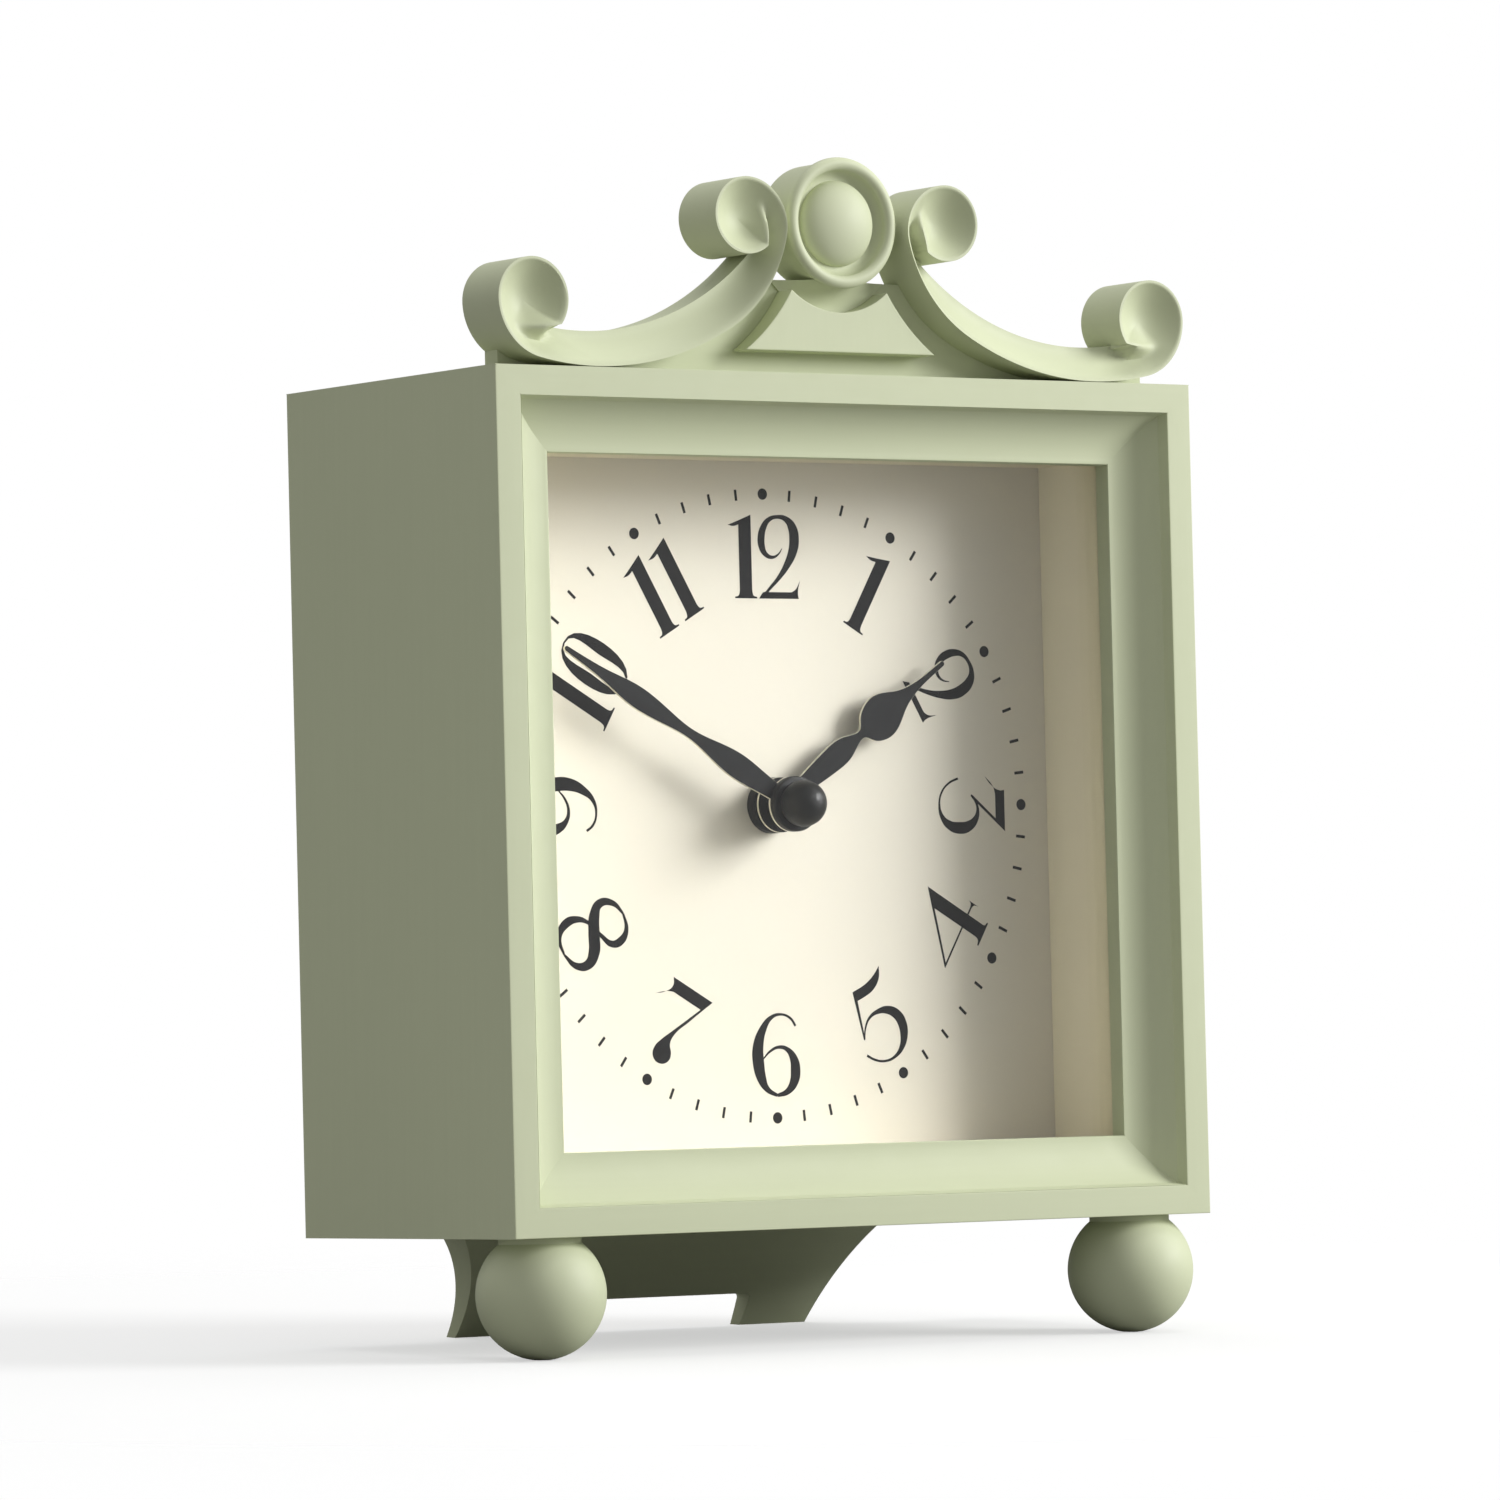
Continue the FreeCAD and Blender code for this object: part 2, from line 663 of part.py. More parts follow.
def train_plate():
    plate = box(-inner_half, inner_half, plate_y0, plate_y1, axis_z + chamber_low, axis_z + chamber_high)
    plate = plate.cut(rod_y(0, axis_z, arbor_r + run_gap, plate_y0, plate_y1))
    return plate.cut(rod_y(0, motion_z, motion_arbor_r + run_gap, plate_y0, plate_y1))


def bushing():
    front = dial_depth - bush_proud
    wall_back = mov_front + mov_wall
    tube = rod_y(0, axis_z, bush_r, front, wall_back)
    tube = tube.fuse(rod_y(0, axis_z, bush_flange_r, wall_back, wall_back + bush_flange_t))
    return tube.cut(rod_y(0, axis_z, bush_bore_r, front, wall_back + bush_flange_t)).removeSplitter()


def bush_nut():
    y0 = dial_depth - nut_t
    nut = rod_y(0, axis_z, nut_r, y0, dial_depth)
    rim = [e for e in nut.Edges if abs(e.BoundBox.YMin - y0) < 0.01 and e.BoundBox.YLength < 0.01]
    return nut.makeFillet(nut_round, rim).cut(rod_y(0, axis_z, bush_r + glue_gap, y0, dial_depth))


def rubber_washer():
    ring = rod_y(0, axis_z, washer_r, dial_back, mov_front)
    return ring.cut(rod_y(0, axis_z, bush_r + 2 * glue_gap, dial_back, mov_front))


def hour_wheel():
    wheel = gear(hour_teeth, axis_z, hour_wheel_y0, hour_wheel_y1, 90 + 180.0 / hour_teeth)
    pipe = rod_y(0, axis_z, pipe_r, hour_front - hand_t, hour_wheel_y0)
    return wheel.fuse(pipe).cut(rod_y(0, axis_z, arbor_r + run_gap, hour_front - hand_t, hour_wheel_y1))


def minute_arbor():
    pinion = gear(cannon_teeth, axis_z, cannon_y0, cannon_y1, 90)
    shaft = rod_y(0, axis_z, arbor_r, minute_front, plate_y1 + wheel_space)
    collar_y0 = minute_front + hand_t
    collar = rod_y(0, axis_z, pipe_r, collar_y0, collar_y0 + hand_collar_t)
    thread = rod_y(0, axis_z, thread_r, minute_front - cap_collar_t, minute_front)
    return pinion.fuse(shaft).fuse(collar).fuse(thread)


def motion_wheel():
    wheel_y0 = cannon_y0 + (pinion_t - motion_wheel_t) / 2
    pinion_y0 = hour_wheel_y0 - wheel_space / 2
    wheel = gear(motion_teeth, motion_z, wheel_y0, wheel_y0 + motion_wheel_t, -90 + 180.0 / motion_teeth)
    pinion = gear(motion_pinion_teeth, motion_z, pinion_y0, hour_wheel_y1 + wheel_space / 2, -90)
    arbor = rod_y(0, motion_z, motion_arbor_r, pinion_y0, mov_back + knob_gap + knob_t / 2)
    return wheel.fuse(pinion).fuse(arbor)


def set_knob():
    y0 = mov_back + knob_gap
    knob = rod_y(0, motion_z, knob_r, y0, y0 + knob_t)
    flute_r = math.pi * knob_r / knob_flutes / 2
    for index in range(knob_flutes):
        angle = 2 * math.pi * index / knob_flutes
        x = knob_r * math.cos(angle)
        z = motion_z + knob_r * math.sin(angle)
        knob = knob.cut(rod_y(x, z, flute_r, y0, y0 + knob_t))
    knob = knob.cut(rod_y(0, motion_z, motion_arbor_r + glue_gap, y0, y0 + knob_t / 2 + glue_gap))
    return knob


def battery():
    body = Part.makeCylinder(cell_r, cell_len, V(cell_x0, cell_y, cell_z), V(1, 0, 0))
    nub = Part.makeCylinder(nub_r, nub_len, V(cell_x0 + cell_len, cell_y, cell_z), V(1, 0, 0))
    return body.fuse(nub).removeSplitter()


def contact_positive():
    half = bay_h / 3
    return box(inner_half - contact_t, inner_half,
               cell_y - half, cell_y + half, cell_z - half, cell_z + half)


def contact_negative():
    """Bent leaf between the bay's end wall and the flat end of the cell."""
    half = bay_h / 3
    x0 = -inner_half
    outline = [V(x0, cell_y - half, 0), V(x0 + contact_t, cell_y - half, 0),
               V(x0 + contact_t, cell_y - contact_t, 0), V(cell_x0, cell_y, 0),
               V(x0 + contact_t, cell_y + contact_t, 0), V(x0 + contact_t, cell_y + half, 0),
               V(x0, cell_y + half, 0)]
    leaf = Part.Face(Part.makePolygon(outline + outline[:1])).extrude(V(0, 0, 2 * half))
    leaf.translate(V(0, 0, cell_z - half))
    return leaf


def drive_coil():
    winding = Part.makeCylinder(coil_r, coil_len, V(-coil_len / 2, coil_y, coil_z), V(1, 0, 0))
    bore = Part.makeCylinder(core_r + glue_gap, coil_len, V(-coil_len / 2, coil_y, coil_z), V(1, 0, 0))
    return winding.cut(bore)


def coil_core():
    """Iron core through the winding, with a pole arm at each end that rests on the plate."""
    reach = coil_len / 2 + 2 * core_r
    core = Part.makeCylinder(core_r, 2 * reach, V(-reach, coil_y, coil_z), V(1, 0, 0))
    arms = [box(sign * reach - core_r, sign * reach + core_r, plate_y1, coil_y + core_r,
                coil_z - core_r, coil_z + core_r) for sign in (-1, 1)]
    return core.fuse(arms[0]).fuse(arms[1])


def circuit_board():
    x1 = inner_half - circuit_inset
    x0 = x1 - circuit_w
    z0 = axis_z + chamber_low + circuit_inset
    board_y1 = plate_y1 + circuit_t
    board = box(x0, x1, plate_y1, board_y1, z0, z0 + circuit_h)
    return board.fuse(rod_y((x0 + x1) / 2, z0 + chip_up, chip_r, board_y1, board_y1 + chip_t))


# ---------------------------------------------------------------- hands, drawn pointing up
def blade(profile, length):
    """Smooth outline through the half widths, closed round the tip."""
    length = length * hand_scale
    start = V(profile[0][1] * root_share, 0, hub_r * root_depth)
    right = [start] + [V(w, 0, r * hand_scale) for r, w in profile] + [V(tip_r, 0, length - tip_r)]
    left = [V(-p.x, 0, p.z) for p in right]
    right_curve = Part.BSplineCurve()
    right_curve.interpolate(right)
    left_curve = Part.BSplineCurve()
    left_curve.interpolate(left[::-1])
    tip = arc_through(right[-1], V(0, 0, length), left[-1])
    return [right_curve.toShape(), tip, left_curve.toShape(), line(left[0], right[0])]


def hand(profile, length, y0, hole_r, angle):
    plate = solid_y(blade(profile, length), y0, y0 + hand_t)
    plate.translate(V(0, 0, axis_z))
    plate = plate.fuse(rod_y(0, axis_z, hub_r, y0, y0 + hand_t)).removeSplitter()
    return turned(plate.cut(rod_y(0, axis_z, hole_r, y0, y0 + hand_t)), angle)


def cap_nut():
    ball_y0 = cap_ball_front + cap_ball_r
    collar_y0 = minute_front - cap_collar_t
    cap = Part.makeSphere(cap_ball_r, V(0, ball_y0, axis_z))
    cap = cap.common(rod_y(0, axis_z, cap_ball_r, cap_ball_front, minute_front))
    cap = cap.fuse(rod_y(0, axis_z, hub_r, collar_y0, minute_front)).removeSplitter()
    return cap.cut(rod_y(0, axis_z, thread_r + glue_gap, collar_y0 - glue_gap, minute_front))


# ---------------------------------------------------------------- assemble
def build():
    scroll_right = scroll()
    scroll_left = mirrored(scroll_right)
    scrolls = [scroll_left, scroll_right]
    parts = {}
    for side in ("left", "right", "top", "bottom"):
        parts["case_" + side] = frame_side(board_section(), side, board_t)
        parts["moulding_" + side] = frame_side(moulding_section, side, rim_w + mould_w)
        parts["liner_" + side] = frame_side(liner_section(), side, liner_inset)
    parts["case_bottom"] = parts["case_bottom"].cut(foot_dowel_holes())
    for hole in stand_pegs(peg_r + glue_gap, glue_gap):
        parts["case_bottom"] = parts["case_bottom"].cut(hole)
    for hole in crest_pegs(crest_peg_r + glue_gap, glue_gap):
        parts["case_top"] = parts["case_top"].cut(hole)
    dial_hole = rod_y(0, axis_z, bush_r + bush_hole_gap, dial_depth, dial_back)
    parts["glass_pane"] = inside_sheet(mould_d, glass_back)
    parts["dial_face"] = inside_sheet(dial_depth, dial_depth + dial_face_t).cut(dial_hole)
    parts["dial_board"] = inside_sheet(dial_depth + dial_face_t, dial_back).cut(dial_hole)
    parts["corner_blocks"] = corner_blocks()
    parts["back_panel"] = back_panel()
    parts["back_screws"] = back_screws()
    parts["ball_foot_left"] = ball_foot(-ball_x)
    parts["ball_foot_right"] = ball_foot(ball_x)
    parts["foot_dowels"] = foot_dowels()
    parts["rear_stand"] = rear_stand()
    parts["stand_pegs"] = Part.makeCompound(stand_pegs(peg_r, 0))
    parts["scroll_left"] = scroll_left
    parts["scroll_right"] = scroll_right
    parts["crest_backboard"] = crest_backboard(scrolls)
    parts["crest_panel"] = crest_panel()
    parts["boss_ring"] = boss_ring()
    parts["boss_dome"] = boss_dome()
    parts["boss_collar"] = boss_collar(scrolls)
    parts["crest_pegs"] = Part.makeCompound(crest_pegs(crest_peg_r, 0))
    parts["movement_case"] = movement_case()
    parts["movement_cover"] = movement_cover()
    parts["train_plate"] = train_plate()
    parts["bushing"] = bushing()
    parts["bush_nut"] = bush_nut()
    parts["rubber_washer"] = rubber_washer()
    parts["battery"] = battery()
    parts["contact_positive"] = contact_positive()
    parts["contact_negative"] = contact_negative()
    parts["drive_coil"] = drive_coil()
    parts["coil_core"] = coil_core()
    parts["circuit_board"] = circuit_board()
    parts["hour_wheel"] = hour_wheel()
    parts["minute_arbor"] = minute_arbor()
    parts["motion_wheel"] = motion_wheel()
    parts["set_knob"] = set_knob()
    parts["hour_hand"] = hand(hour_blade, hour_len, hour_front, pipe_r, hour_angle)
    parts["minute_hand"] = hand(minute_blade, minute_len, minute_front, arbor_r, minute_angle)
    parts["cap_nut"] = cap_nut()
    return parts


def stand_up(parts):
    """Lean the clock back onto its feet and put the origin under its middle, on the floor."""
    for shape in parts.values():
        shape.rotate(V(0, 0, 0), V(1, 0, 0), -lean_deg)
    whole = Part.makeCompound(list(parts.values())).optimalBoundingBox()
    move = V(-(whole.XMin + whole.XMax) / 2, -(whole.YMin + whole.YMax) / 2, -whole.ZMin)
    for shape in parts.values():
        shape.translate(move)
    return move


clock = build()
shift = stand_up(clock)
for name, shape in clock.items():
    shape.exportStep("parts/" + name + ".step")
    print(name, "solids", len(shape.Solids), "valid", shape.isValid(), "volume %.1f" % shape.Volume)
box_all = Part.makeCompound(list(clock.values())).optimalBoundingBox()
print("size %.2f x %.2f x %.2f" % (box_all.XLength, box_all.YLength, box_all.ZLength))
print("case frame moved by %.3f %.3f %.3f after the lean" % (shift.x, shift.y, shift.z))
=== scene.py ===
# %% [markdown]
# # A painted mantel clock
# The clock was drawn in CAD first: a square case that leans back a little on two ball feet and a
# swept stand, with a carved crest on top.  This notebook loads that model as a fixed frame and gives
# it its looks.  The lengths below are in millimetres, in the case's own upright frame: X across,
# Y from the front face to the back and Z up from the underside of the case.  One matrix then takes
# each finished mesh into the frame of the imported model, which is in metres and leans back.  Only the
# floor and the lamps are given in metres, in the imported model's frame.

# %% Load the frame
import bmesh
import bpy
import json
import math
from mathutils import Matrix, Vector


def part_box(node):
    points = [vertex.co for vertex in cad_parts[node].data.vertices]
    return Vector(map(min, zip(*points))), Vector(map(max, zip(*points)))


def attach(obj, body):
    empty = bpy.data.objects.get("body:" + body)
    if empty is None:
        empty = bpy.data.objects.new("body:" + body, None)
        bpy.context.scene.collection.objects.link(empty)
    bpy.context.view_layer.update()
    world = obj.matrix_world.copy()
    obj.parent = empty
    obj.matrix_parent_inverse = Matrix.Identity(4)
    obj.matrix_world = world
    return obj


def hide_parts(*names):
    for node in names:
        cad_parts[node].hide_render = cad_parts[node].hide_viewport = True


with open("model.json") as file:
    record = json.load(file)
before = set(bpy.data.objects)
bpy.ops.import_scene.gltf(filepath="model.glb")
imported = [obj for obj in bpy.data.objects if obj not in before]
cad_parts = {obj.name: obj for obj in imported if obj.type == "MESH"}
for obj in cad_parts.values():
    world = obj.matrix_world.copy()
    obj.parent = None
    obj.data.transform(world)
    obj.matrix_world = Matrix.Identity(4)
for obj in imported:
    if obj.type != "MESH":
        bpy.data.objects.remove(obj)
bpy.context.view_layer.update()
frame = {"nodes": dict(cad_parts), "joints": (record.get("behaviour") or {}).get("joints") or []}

# %% [markdown]
# ## Finding the case again
# The case leans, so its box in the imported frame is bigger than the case.  The lean is the tilt of
# the hands' axis, and with it the height and depth of the case follow from the box of one side
# board.  Typing the numbers in again would also work, but then a change to the CAD model would
# leave the looks behind.

# %% The case's own frame
MM = 0.001
axis = frame["joints"][0]["axis"]
lean = math.atan2(-axis[2], axis[1])
board_low, board_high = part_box("case_left")
tall = board_high.z - board_low.z
deep = board_high.y - board_low.y
flatness = math.cos(2 * lean)
case_h = (tall * math.cos(lean) - deep * math.sin(lean)) / flatness / MM
case_d = (deep * math.cos(lean) - tall * math.sin(lean)) / flatness / MM
case_w = (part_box("case_right")[1].x - board_low.x) / MM
corner = Vector((0, board_low.y, board_low.z + case_d * MM * math.sin(lean)))
LEAN_BACK = Matrix.Translation(corner) @ Matrix.Rotation(-lean, 4, "X")
FROM_CASE = LEAN_BACK @ Matrix.Scale(MM, 4)
TO_CASE = FROM_CASE.inverted()
half_w = case_w / 2
axis_z = case_h / 2
print("case %.1f x %.1f x %.1f mm, leaning %.2f degrees" % (case_w, case_d, case_h, math.degrees(lean)))


def case_box(node):
    """Lowest and highest corner of a CAD node, in the case's frame."""
    points = [TO_CASE @ v.co for v in frame["nodes"][node].data.vertices]
    low = Vector([min(p[i] for p in points) for i in range(3)])
    high = Vector([max(p[i] for p in points) for i in range(3)])
    return low, high


# %% [markdown]
# ## The camera
# The picture is taken from the front left and from low down, with a long lens, which keeps the
# sides of the case nearly parallel.  The camera is placed in the case's frame by its three angles
# and then taken through the same matrix as the meshes.

# %% Camera
cam_place = Vector((-874.5, -1226.7, 30.0))
cam_yaw = math.radians(34.74)
cam_pitch = math.radians(2.06)
cam_roll = math.radians(-1.41)
LENS = 205.46

look = Vector((math.sin(cam_yaw) * math.cos(cam_pitch), math.cos(cam_yaw) * math.cos(cam_pitch),
               math.sin(cam_pitch)))
level = Vector((math.cos(cam_yaw), -math.sin(cam_yaw), 0))
upright = level.cross(look)
cam_right = level * math.cos(cam_roll) + upright * math.sin(cam_roll)
cam_up = upright * math.cos(cam_roll) - level * math.sin(cam_roll)
turn = Matrix((cam_right, cam_up, -look)).transposed().to_4x4()
camera = bpy.data.objects.new("camera", bpy.data.cameras.new("camera"))
bpy.context.scene.collection.objects.link(camera)
camera.matrix_world = LEAN_BACK @ Matrix.Translation(cam_place * MM) @ turn
camera.data.lens = LENS
camera.data.sensor_width = 36
camera.data.clip_start = 0.01
camera.data.clip_end = 20
bpy.context.scene.camera = camera
bpy.context.scene.view_settings.view_transform = "Standard"
print("camera", LENS, "mm lens,", round(cam_place.length), "mm from the case's foot")

# %% [markdown]
# ## Finishes
# Nearly all of the clock is soft wood under chalky sage paint.  Brushed paint is never one flat
# colour: it has faint streaks along the brush, a slow drift in tone and a fine eggshell tooth.
# Those three go into one node group, so that each painted piece can have its own amounts.  A group
# is better than copies of the same nodes, because one change to it reaches every finish.

# %% Node helpers
def add(tree, kind, **values):
    """A new node with its properties or unlinked inputs set by name."""
    node = tree.nodes.new(kind)
    for name, value in values.items():
        key = name.replace("_", " ")
        if key in node.inputs:
            node.inputs[key].default_value = value
        else:
            setattr(node, name, value)
    return node


def math_node(tree, operation, first, second):
    node = tree.nodes.new("ShaderNodeMath")
    node.operation = operation
    for index, value in enumerate((first, second)):
        if isinstance(value, (int, float)):
            node.inputs[index].default_value = value
        else:
            tree.links.new(value, node.inputs[index])
    return node.outputs[0]


def mix_colour(tree, factor, first, second, blend="MIX"):
    node = tree.nodes.new("ShaderNodeMix")
    node.data_type = "RGBA"
    node.blend_type = blend
    for name, value in (("Factor_Float", factor), ("A_Color", first), ("B_Color", second)):
        socket = next(s for s in node.inputs if s.identifier == name)
        if hasattr(value, "default_value"):
            tree.links.new(value, socket)
        else:
            socket.default_value = value
    return next(s for s in node.outputs if s.identifier == "Result_Color")


def noise(tree, vector, scale, detail):
    """Noise value; scale is in features per metre."""
    node = add(tree, "ShaderNodeTexNoise", Scale=scale, Detail=detail)
    tree.links.new(vector, node.inputs["Vector"])
    return node.outputs["Fac"]


def new_group(name, inputs, outputs):
    """Node group with float, colour or vector sockets given as (name, kind, default)."""
    group = bpy.data.node_groups.new(name, "ShaderNodeTree")
    for socket_name, kind, value in inputs:
        socket = group.interface.new_socket(socket_name, in_out="INPUT", socket_type="NodeSocket" + kind)
        if value is not None:
            socket.default_value = value
    for socket_name, kind in outputs:
        group.interface.new_socket(socket_name, in_out="OUTPUT", socket_type="NodeSocket" + kind)
    return group, group.nodes.new("NodeGroupInput"), group.nodes.new("NodeGroupOutput")


# %% Brushed surface group
STREAK_SCALE, DRIFT_SCALE, TOOTH_SCALE, WAVE_SCALE = 900, 22, 2600, 260    # features per metre
ROUGH_SWING = 0.16                     # how far the slow wave moves the roughness
STREAK_RELIEF, WAVE_RELIEF = 4.0, 0.35


def build_brushed_group():
    group, inside, result = new_group(
        "brushed_surface",
        [("Vector", "Vector", None), ("Colour", "Color", (0.5, 0.5, 0.5, 1)), ("Drift", "Float", 0.05),
         ("Streaks", "Float", 0.05), ("Tooth", "Float", 0.5), ("Roughness", "Float", 0.6),
         ("Along", "Vector", (1, 1, 1))],
        [("Colour", "Color"), ("Roughness", "Float"), ("Height", "Float")])
    links = group.links
    stretched = group.nodes.new("ShaderNodeVectorMath")
    stretched.operation = "MULTIPLY"
    links.new(inside.outputs["Vector"], stretched.inputs[0])
    links.new(inside.outputs["Along"], stretched.inputs[1])
    streak = noise(group, stretched.outputs[0], STREAK_SCALE, 4)
    drift = noise(group, inside.outputs["Vector"], DRIFT_SCALE, 3)
    tooth = noise(group, inside.outputs["Vector"], TOOTH_SCALE, 2)
    wave = noise(group, inside.outputs["Vector"], WAVE_SCALE, 2)

    def swing(value, amount):
        """A noise value about zero, times an amount."""
        return math_node(group, "MULTIPLY", math_node(group, "SUBTRACT", value, 0.5), amount)

    tone = swing(drift, inside.outputs["Drift"])
    line = swing(streak, inside.outputs["Streaks"])
    change = math_node(group, "ADD", math_node(group, "ADD", tone, line), 1.0)
    grey = group.nodes.new("ShaderNodeCombineColor")
    for index in range(3):
        links.new(change, grey.inputs[index])
    colour = mix_colour(group, 1.0, inside.outputs["Colour"], grey.outputs[0], "MULTIPLY")
    links.new(colour, result.inputs["Colour"])
    rough = math_node(group, "ADD", swing(wave, ROUGH_SWING), inside.outputs["Roughness"])
    links.new(rough, result.inputs["Roughness"])
    fine = math_node(group, "MULTIPLY", tooth, inside.outputs["Tooth"])
    ridges = math_node(group, "MULTIPLY", streak, inside.outputs["Streaks"])
    height = math_node(group, "ADD", fine, math_node(group, "MULTIPLY", ridges, STREAK_RELIEF))
    waves = math_node(group, "MULTIPLY", wave, WAVE_RELIEF)
    links.new(math_node(group, "ADD", height, waves), result.inputs["Height"])
    return group


BRUSHED = build_brushed_group()


# %% One function for a finish that uses the group
def srgb(red, green, blue):
    """Linear colour from the 0 to 255 values a paint chart gives."""
    def linear(value):
        value /= 255
        return value / 12.92 if value <= 0.04045 else ((value + 0.055) / 1.055) ** 2.4
    return (linear(red), linear(green), linear(blue), 1)


BUMP_MM = 0.02                         # depth of the relief at full strength


def finish(name, colour, roughness, drift=0.05, streaks=0.04, tooth=0.5, along=(1, 1, 1), relief=0.05,
           metallic=0.0, coat=0.0, specular=0.5):
    """A paint, metal or plastic whose streaks run the way that `along` has small numbers."""
    material = bpy.data.materials.new(name)
    material.use_nodes = True
    tree = material.node_tree
    shader = tree.nodes["Principled BSDF"]
    where = tree.nodes.new("ShaderNodeTexCoord")
    group = tree.nodes.new("ShaderNodeGroup")
    group.node_tree = BRUSHED
    for key, value in (("Colour", colour), ("Drift", drift), ("Streaks", streaks), ("Tooth", tooth),
                       ("Roughness", roughness), ("Along", along)):
        group.inputs[key].default_value = value
    bump = add(tree, "ShaderNodeBump", Strength=relief, Distance=BUMP_MM * MM)
    links = tree.links
    links.new(where.outputs["Object"], group.inputs["Vector"])
    links.new(group.outputs["Colour"], shader.inputs["Base Color"])
    links.new(group.outputs["Roughness"], shader.inputs["Roughness"])
    links.new(group.outputs["Height"], bump.inputs["Height"])
    links.new(bump.outputs["Normal"], shader.inputs["Normal"])
    shader.inputs["Metallic"].default_value = metallic
    shader.inputs["Coat Weight"].default_value = coat
    shader.inputs["Specular IOR Level"].default_value = specular
    material.diffuse_color = colour
    return material


# %% [markdown]
# ## The paints and the small parts' finishes
# The brush goes along each board, so the sage comes three times, with streaks along X, along Z and
# with no direction for turned work.  The dial is uncoated card, the hands are lacquered on the front
# and bare metal at their cut edges, and the movement at the back is moulded plastic.

# %% Materials
SAGE = srgb(199, 205, 172)
sage_across = finish("sage_across", SAGE, 0.62, along=(0.04, 1, 1), relief=0.35)
sage_upright = finish("sage_upright", SAGE, 0.62, along=(1, 1, 0.04), relief=0.35)
sage_turned = finish("sage_turned", SAGE, 0.58, streaks=0.02, relief=0.3)
cream = finish("cream_board", srgb(224, 217, 194), 0.7, along=(1, 0.05, 1), relief=0.3)
dial_card = finish("dial_card", srgb(218, 212, 198), 0.75, drift=0.02, streaks=0.015, tooth=1.0,
                   relief=0.2)
ink = finish("dial_ink", srgb(18, 17, 18), 0.6, drift=0.1, streaks=0.05, tooth=0.8, relief=0.2,
             specular=0.06)
fibre = finish("fibreboard", srgb(168, 134, 96), 0.85, drift=0.25, streaks=0.25, tooth=1.5, relief=0.6)
beech = finish("beech", srgb(206, 168, 122), 0.55, drift=0.15, streaks=0.35, along=(1, 1, 0.05),
               relief=0.4)
steel = finish("plated_steel", srgb(198, 198, 196), 0.32, streaks=0.15, along=(0.05, 1, 1), metallic=1.0)
plastic = finish("black_plastic", srgb(34, 34, 36), 0.5, tooth=2.0, relief=0.5)
acetal = finish("white_acetal", srgb(226, 224, 214), 0.4, tooth=0.6, relief=0.2)
brass = finish("brass", srgb(196, 160, 92), 0.28, drift=0.1, streaks=0.12, metallic=1.0)
lacquer = finish("black_lacquer", srgb(20, 20, 22), 0.6, drift=0.06, tooth=0.7, relief=0.2, specular=0.1)
bright_edge = finish("bright_edge", srgb(226, 222, 205), 0.35, streaks=0.05, metallic=0.6)
gloss_black = finish("black_cap", srgb(14, 14, 15), 0.45, drift=0.05, tooth=0.4, relief=0.1,
                     specular=0.22)
rubber = finish("rubber", srgb(30, 29, 28), 0.85, tooth=2.0, relief=0.6)
wrap = finish("battery_wrap", srgb(60, 78, 96), 0.35, drift=0.04, coat=0.3)
copper = finish("copper_wire", srgb(190, 112, 70), 0.35, streaks=0.8, along=(1, 0.1, 0.1),
                metallic=1.0, relief=0.8)
circuit = finish("circuit_green", srgb(36, 92, 58), 0.45, drift=0.12, streaks=0.1, coat=0.3)


SMEAR_SCALE, SMEAR_ROUGH = 60, 0.03    # smears per metre, and the roughness at their worst


def clear_glass():
    """Glass that lets lamps through, so that the dial behind it is lit."""
    material = bpy.data.materials.new("clear_glass")
    material.use_nodes = True
    tree = material.node_tree
    shader = tree.nodes["Principled BSDF"]
    shader.inputs["Base Color"].default_value = (0.985, 0.995, 0.985, 1)
    shader.inputs["Transmission Weight"].default_value = 1.0
    shader.inputs["IOR"].default_value = 1.45
    where = tree.nodes.new("ShaderNodeTexCoord")
    smear = noise(tree, where.outputs["Object"], SMEAR_SCALE, 4)
    rough = math_node(tree, "MULTIPLY", smear, SMEAR_ROUGH)
    tree.links.new(rough, shader.inputs["Roughness"])
    path = tree.nodes.new("ShaderNodeLightPath")
    see_through = tree.nodes.new("ShaderNodeBsdfTransparent")
    blend = tree.nodes.new("ShaderNodeMixShader")
    tree.links.new(path.outputs["Is Shadow Ray"], blend.inputs[0])
    tree.links.new(shader.outputs[0], blend.inputs[1])
    tree.links.new(see_through.outputs[0], blend.inputs[2])
    tree.links.new(blend.outputs[0], tree.nodes["Material Output"].inputs["Surface"])
    return material


glass = clear_glass()
print(len(bpy.data.materials), "materials")

# %% [markdown]
# ## Painted edges
# A CAD edge is perfectly sharp and a painted one never is: the paint rounds it over a few tenths of
# a millimetre, and that thin round catches the light.  So each visible CAD piece is copied, its
# loose triangles are merged, flat faces are joined up and the corners are bevelled in the mesh.
# A Bevel modifier would do the same, but here the mitres between boards have to stay closed, and
# picking edges in the mesh allows that.

# %% Piece helpers
SAME_PLACE = 0.0005                    # points nearer than this are one point
FLAT_ANGLE = 0.4                       # degrees between triangles of one flat face
NEARLY = 0.01                          # how far a unit vector may be out and still count as in line


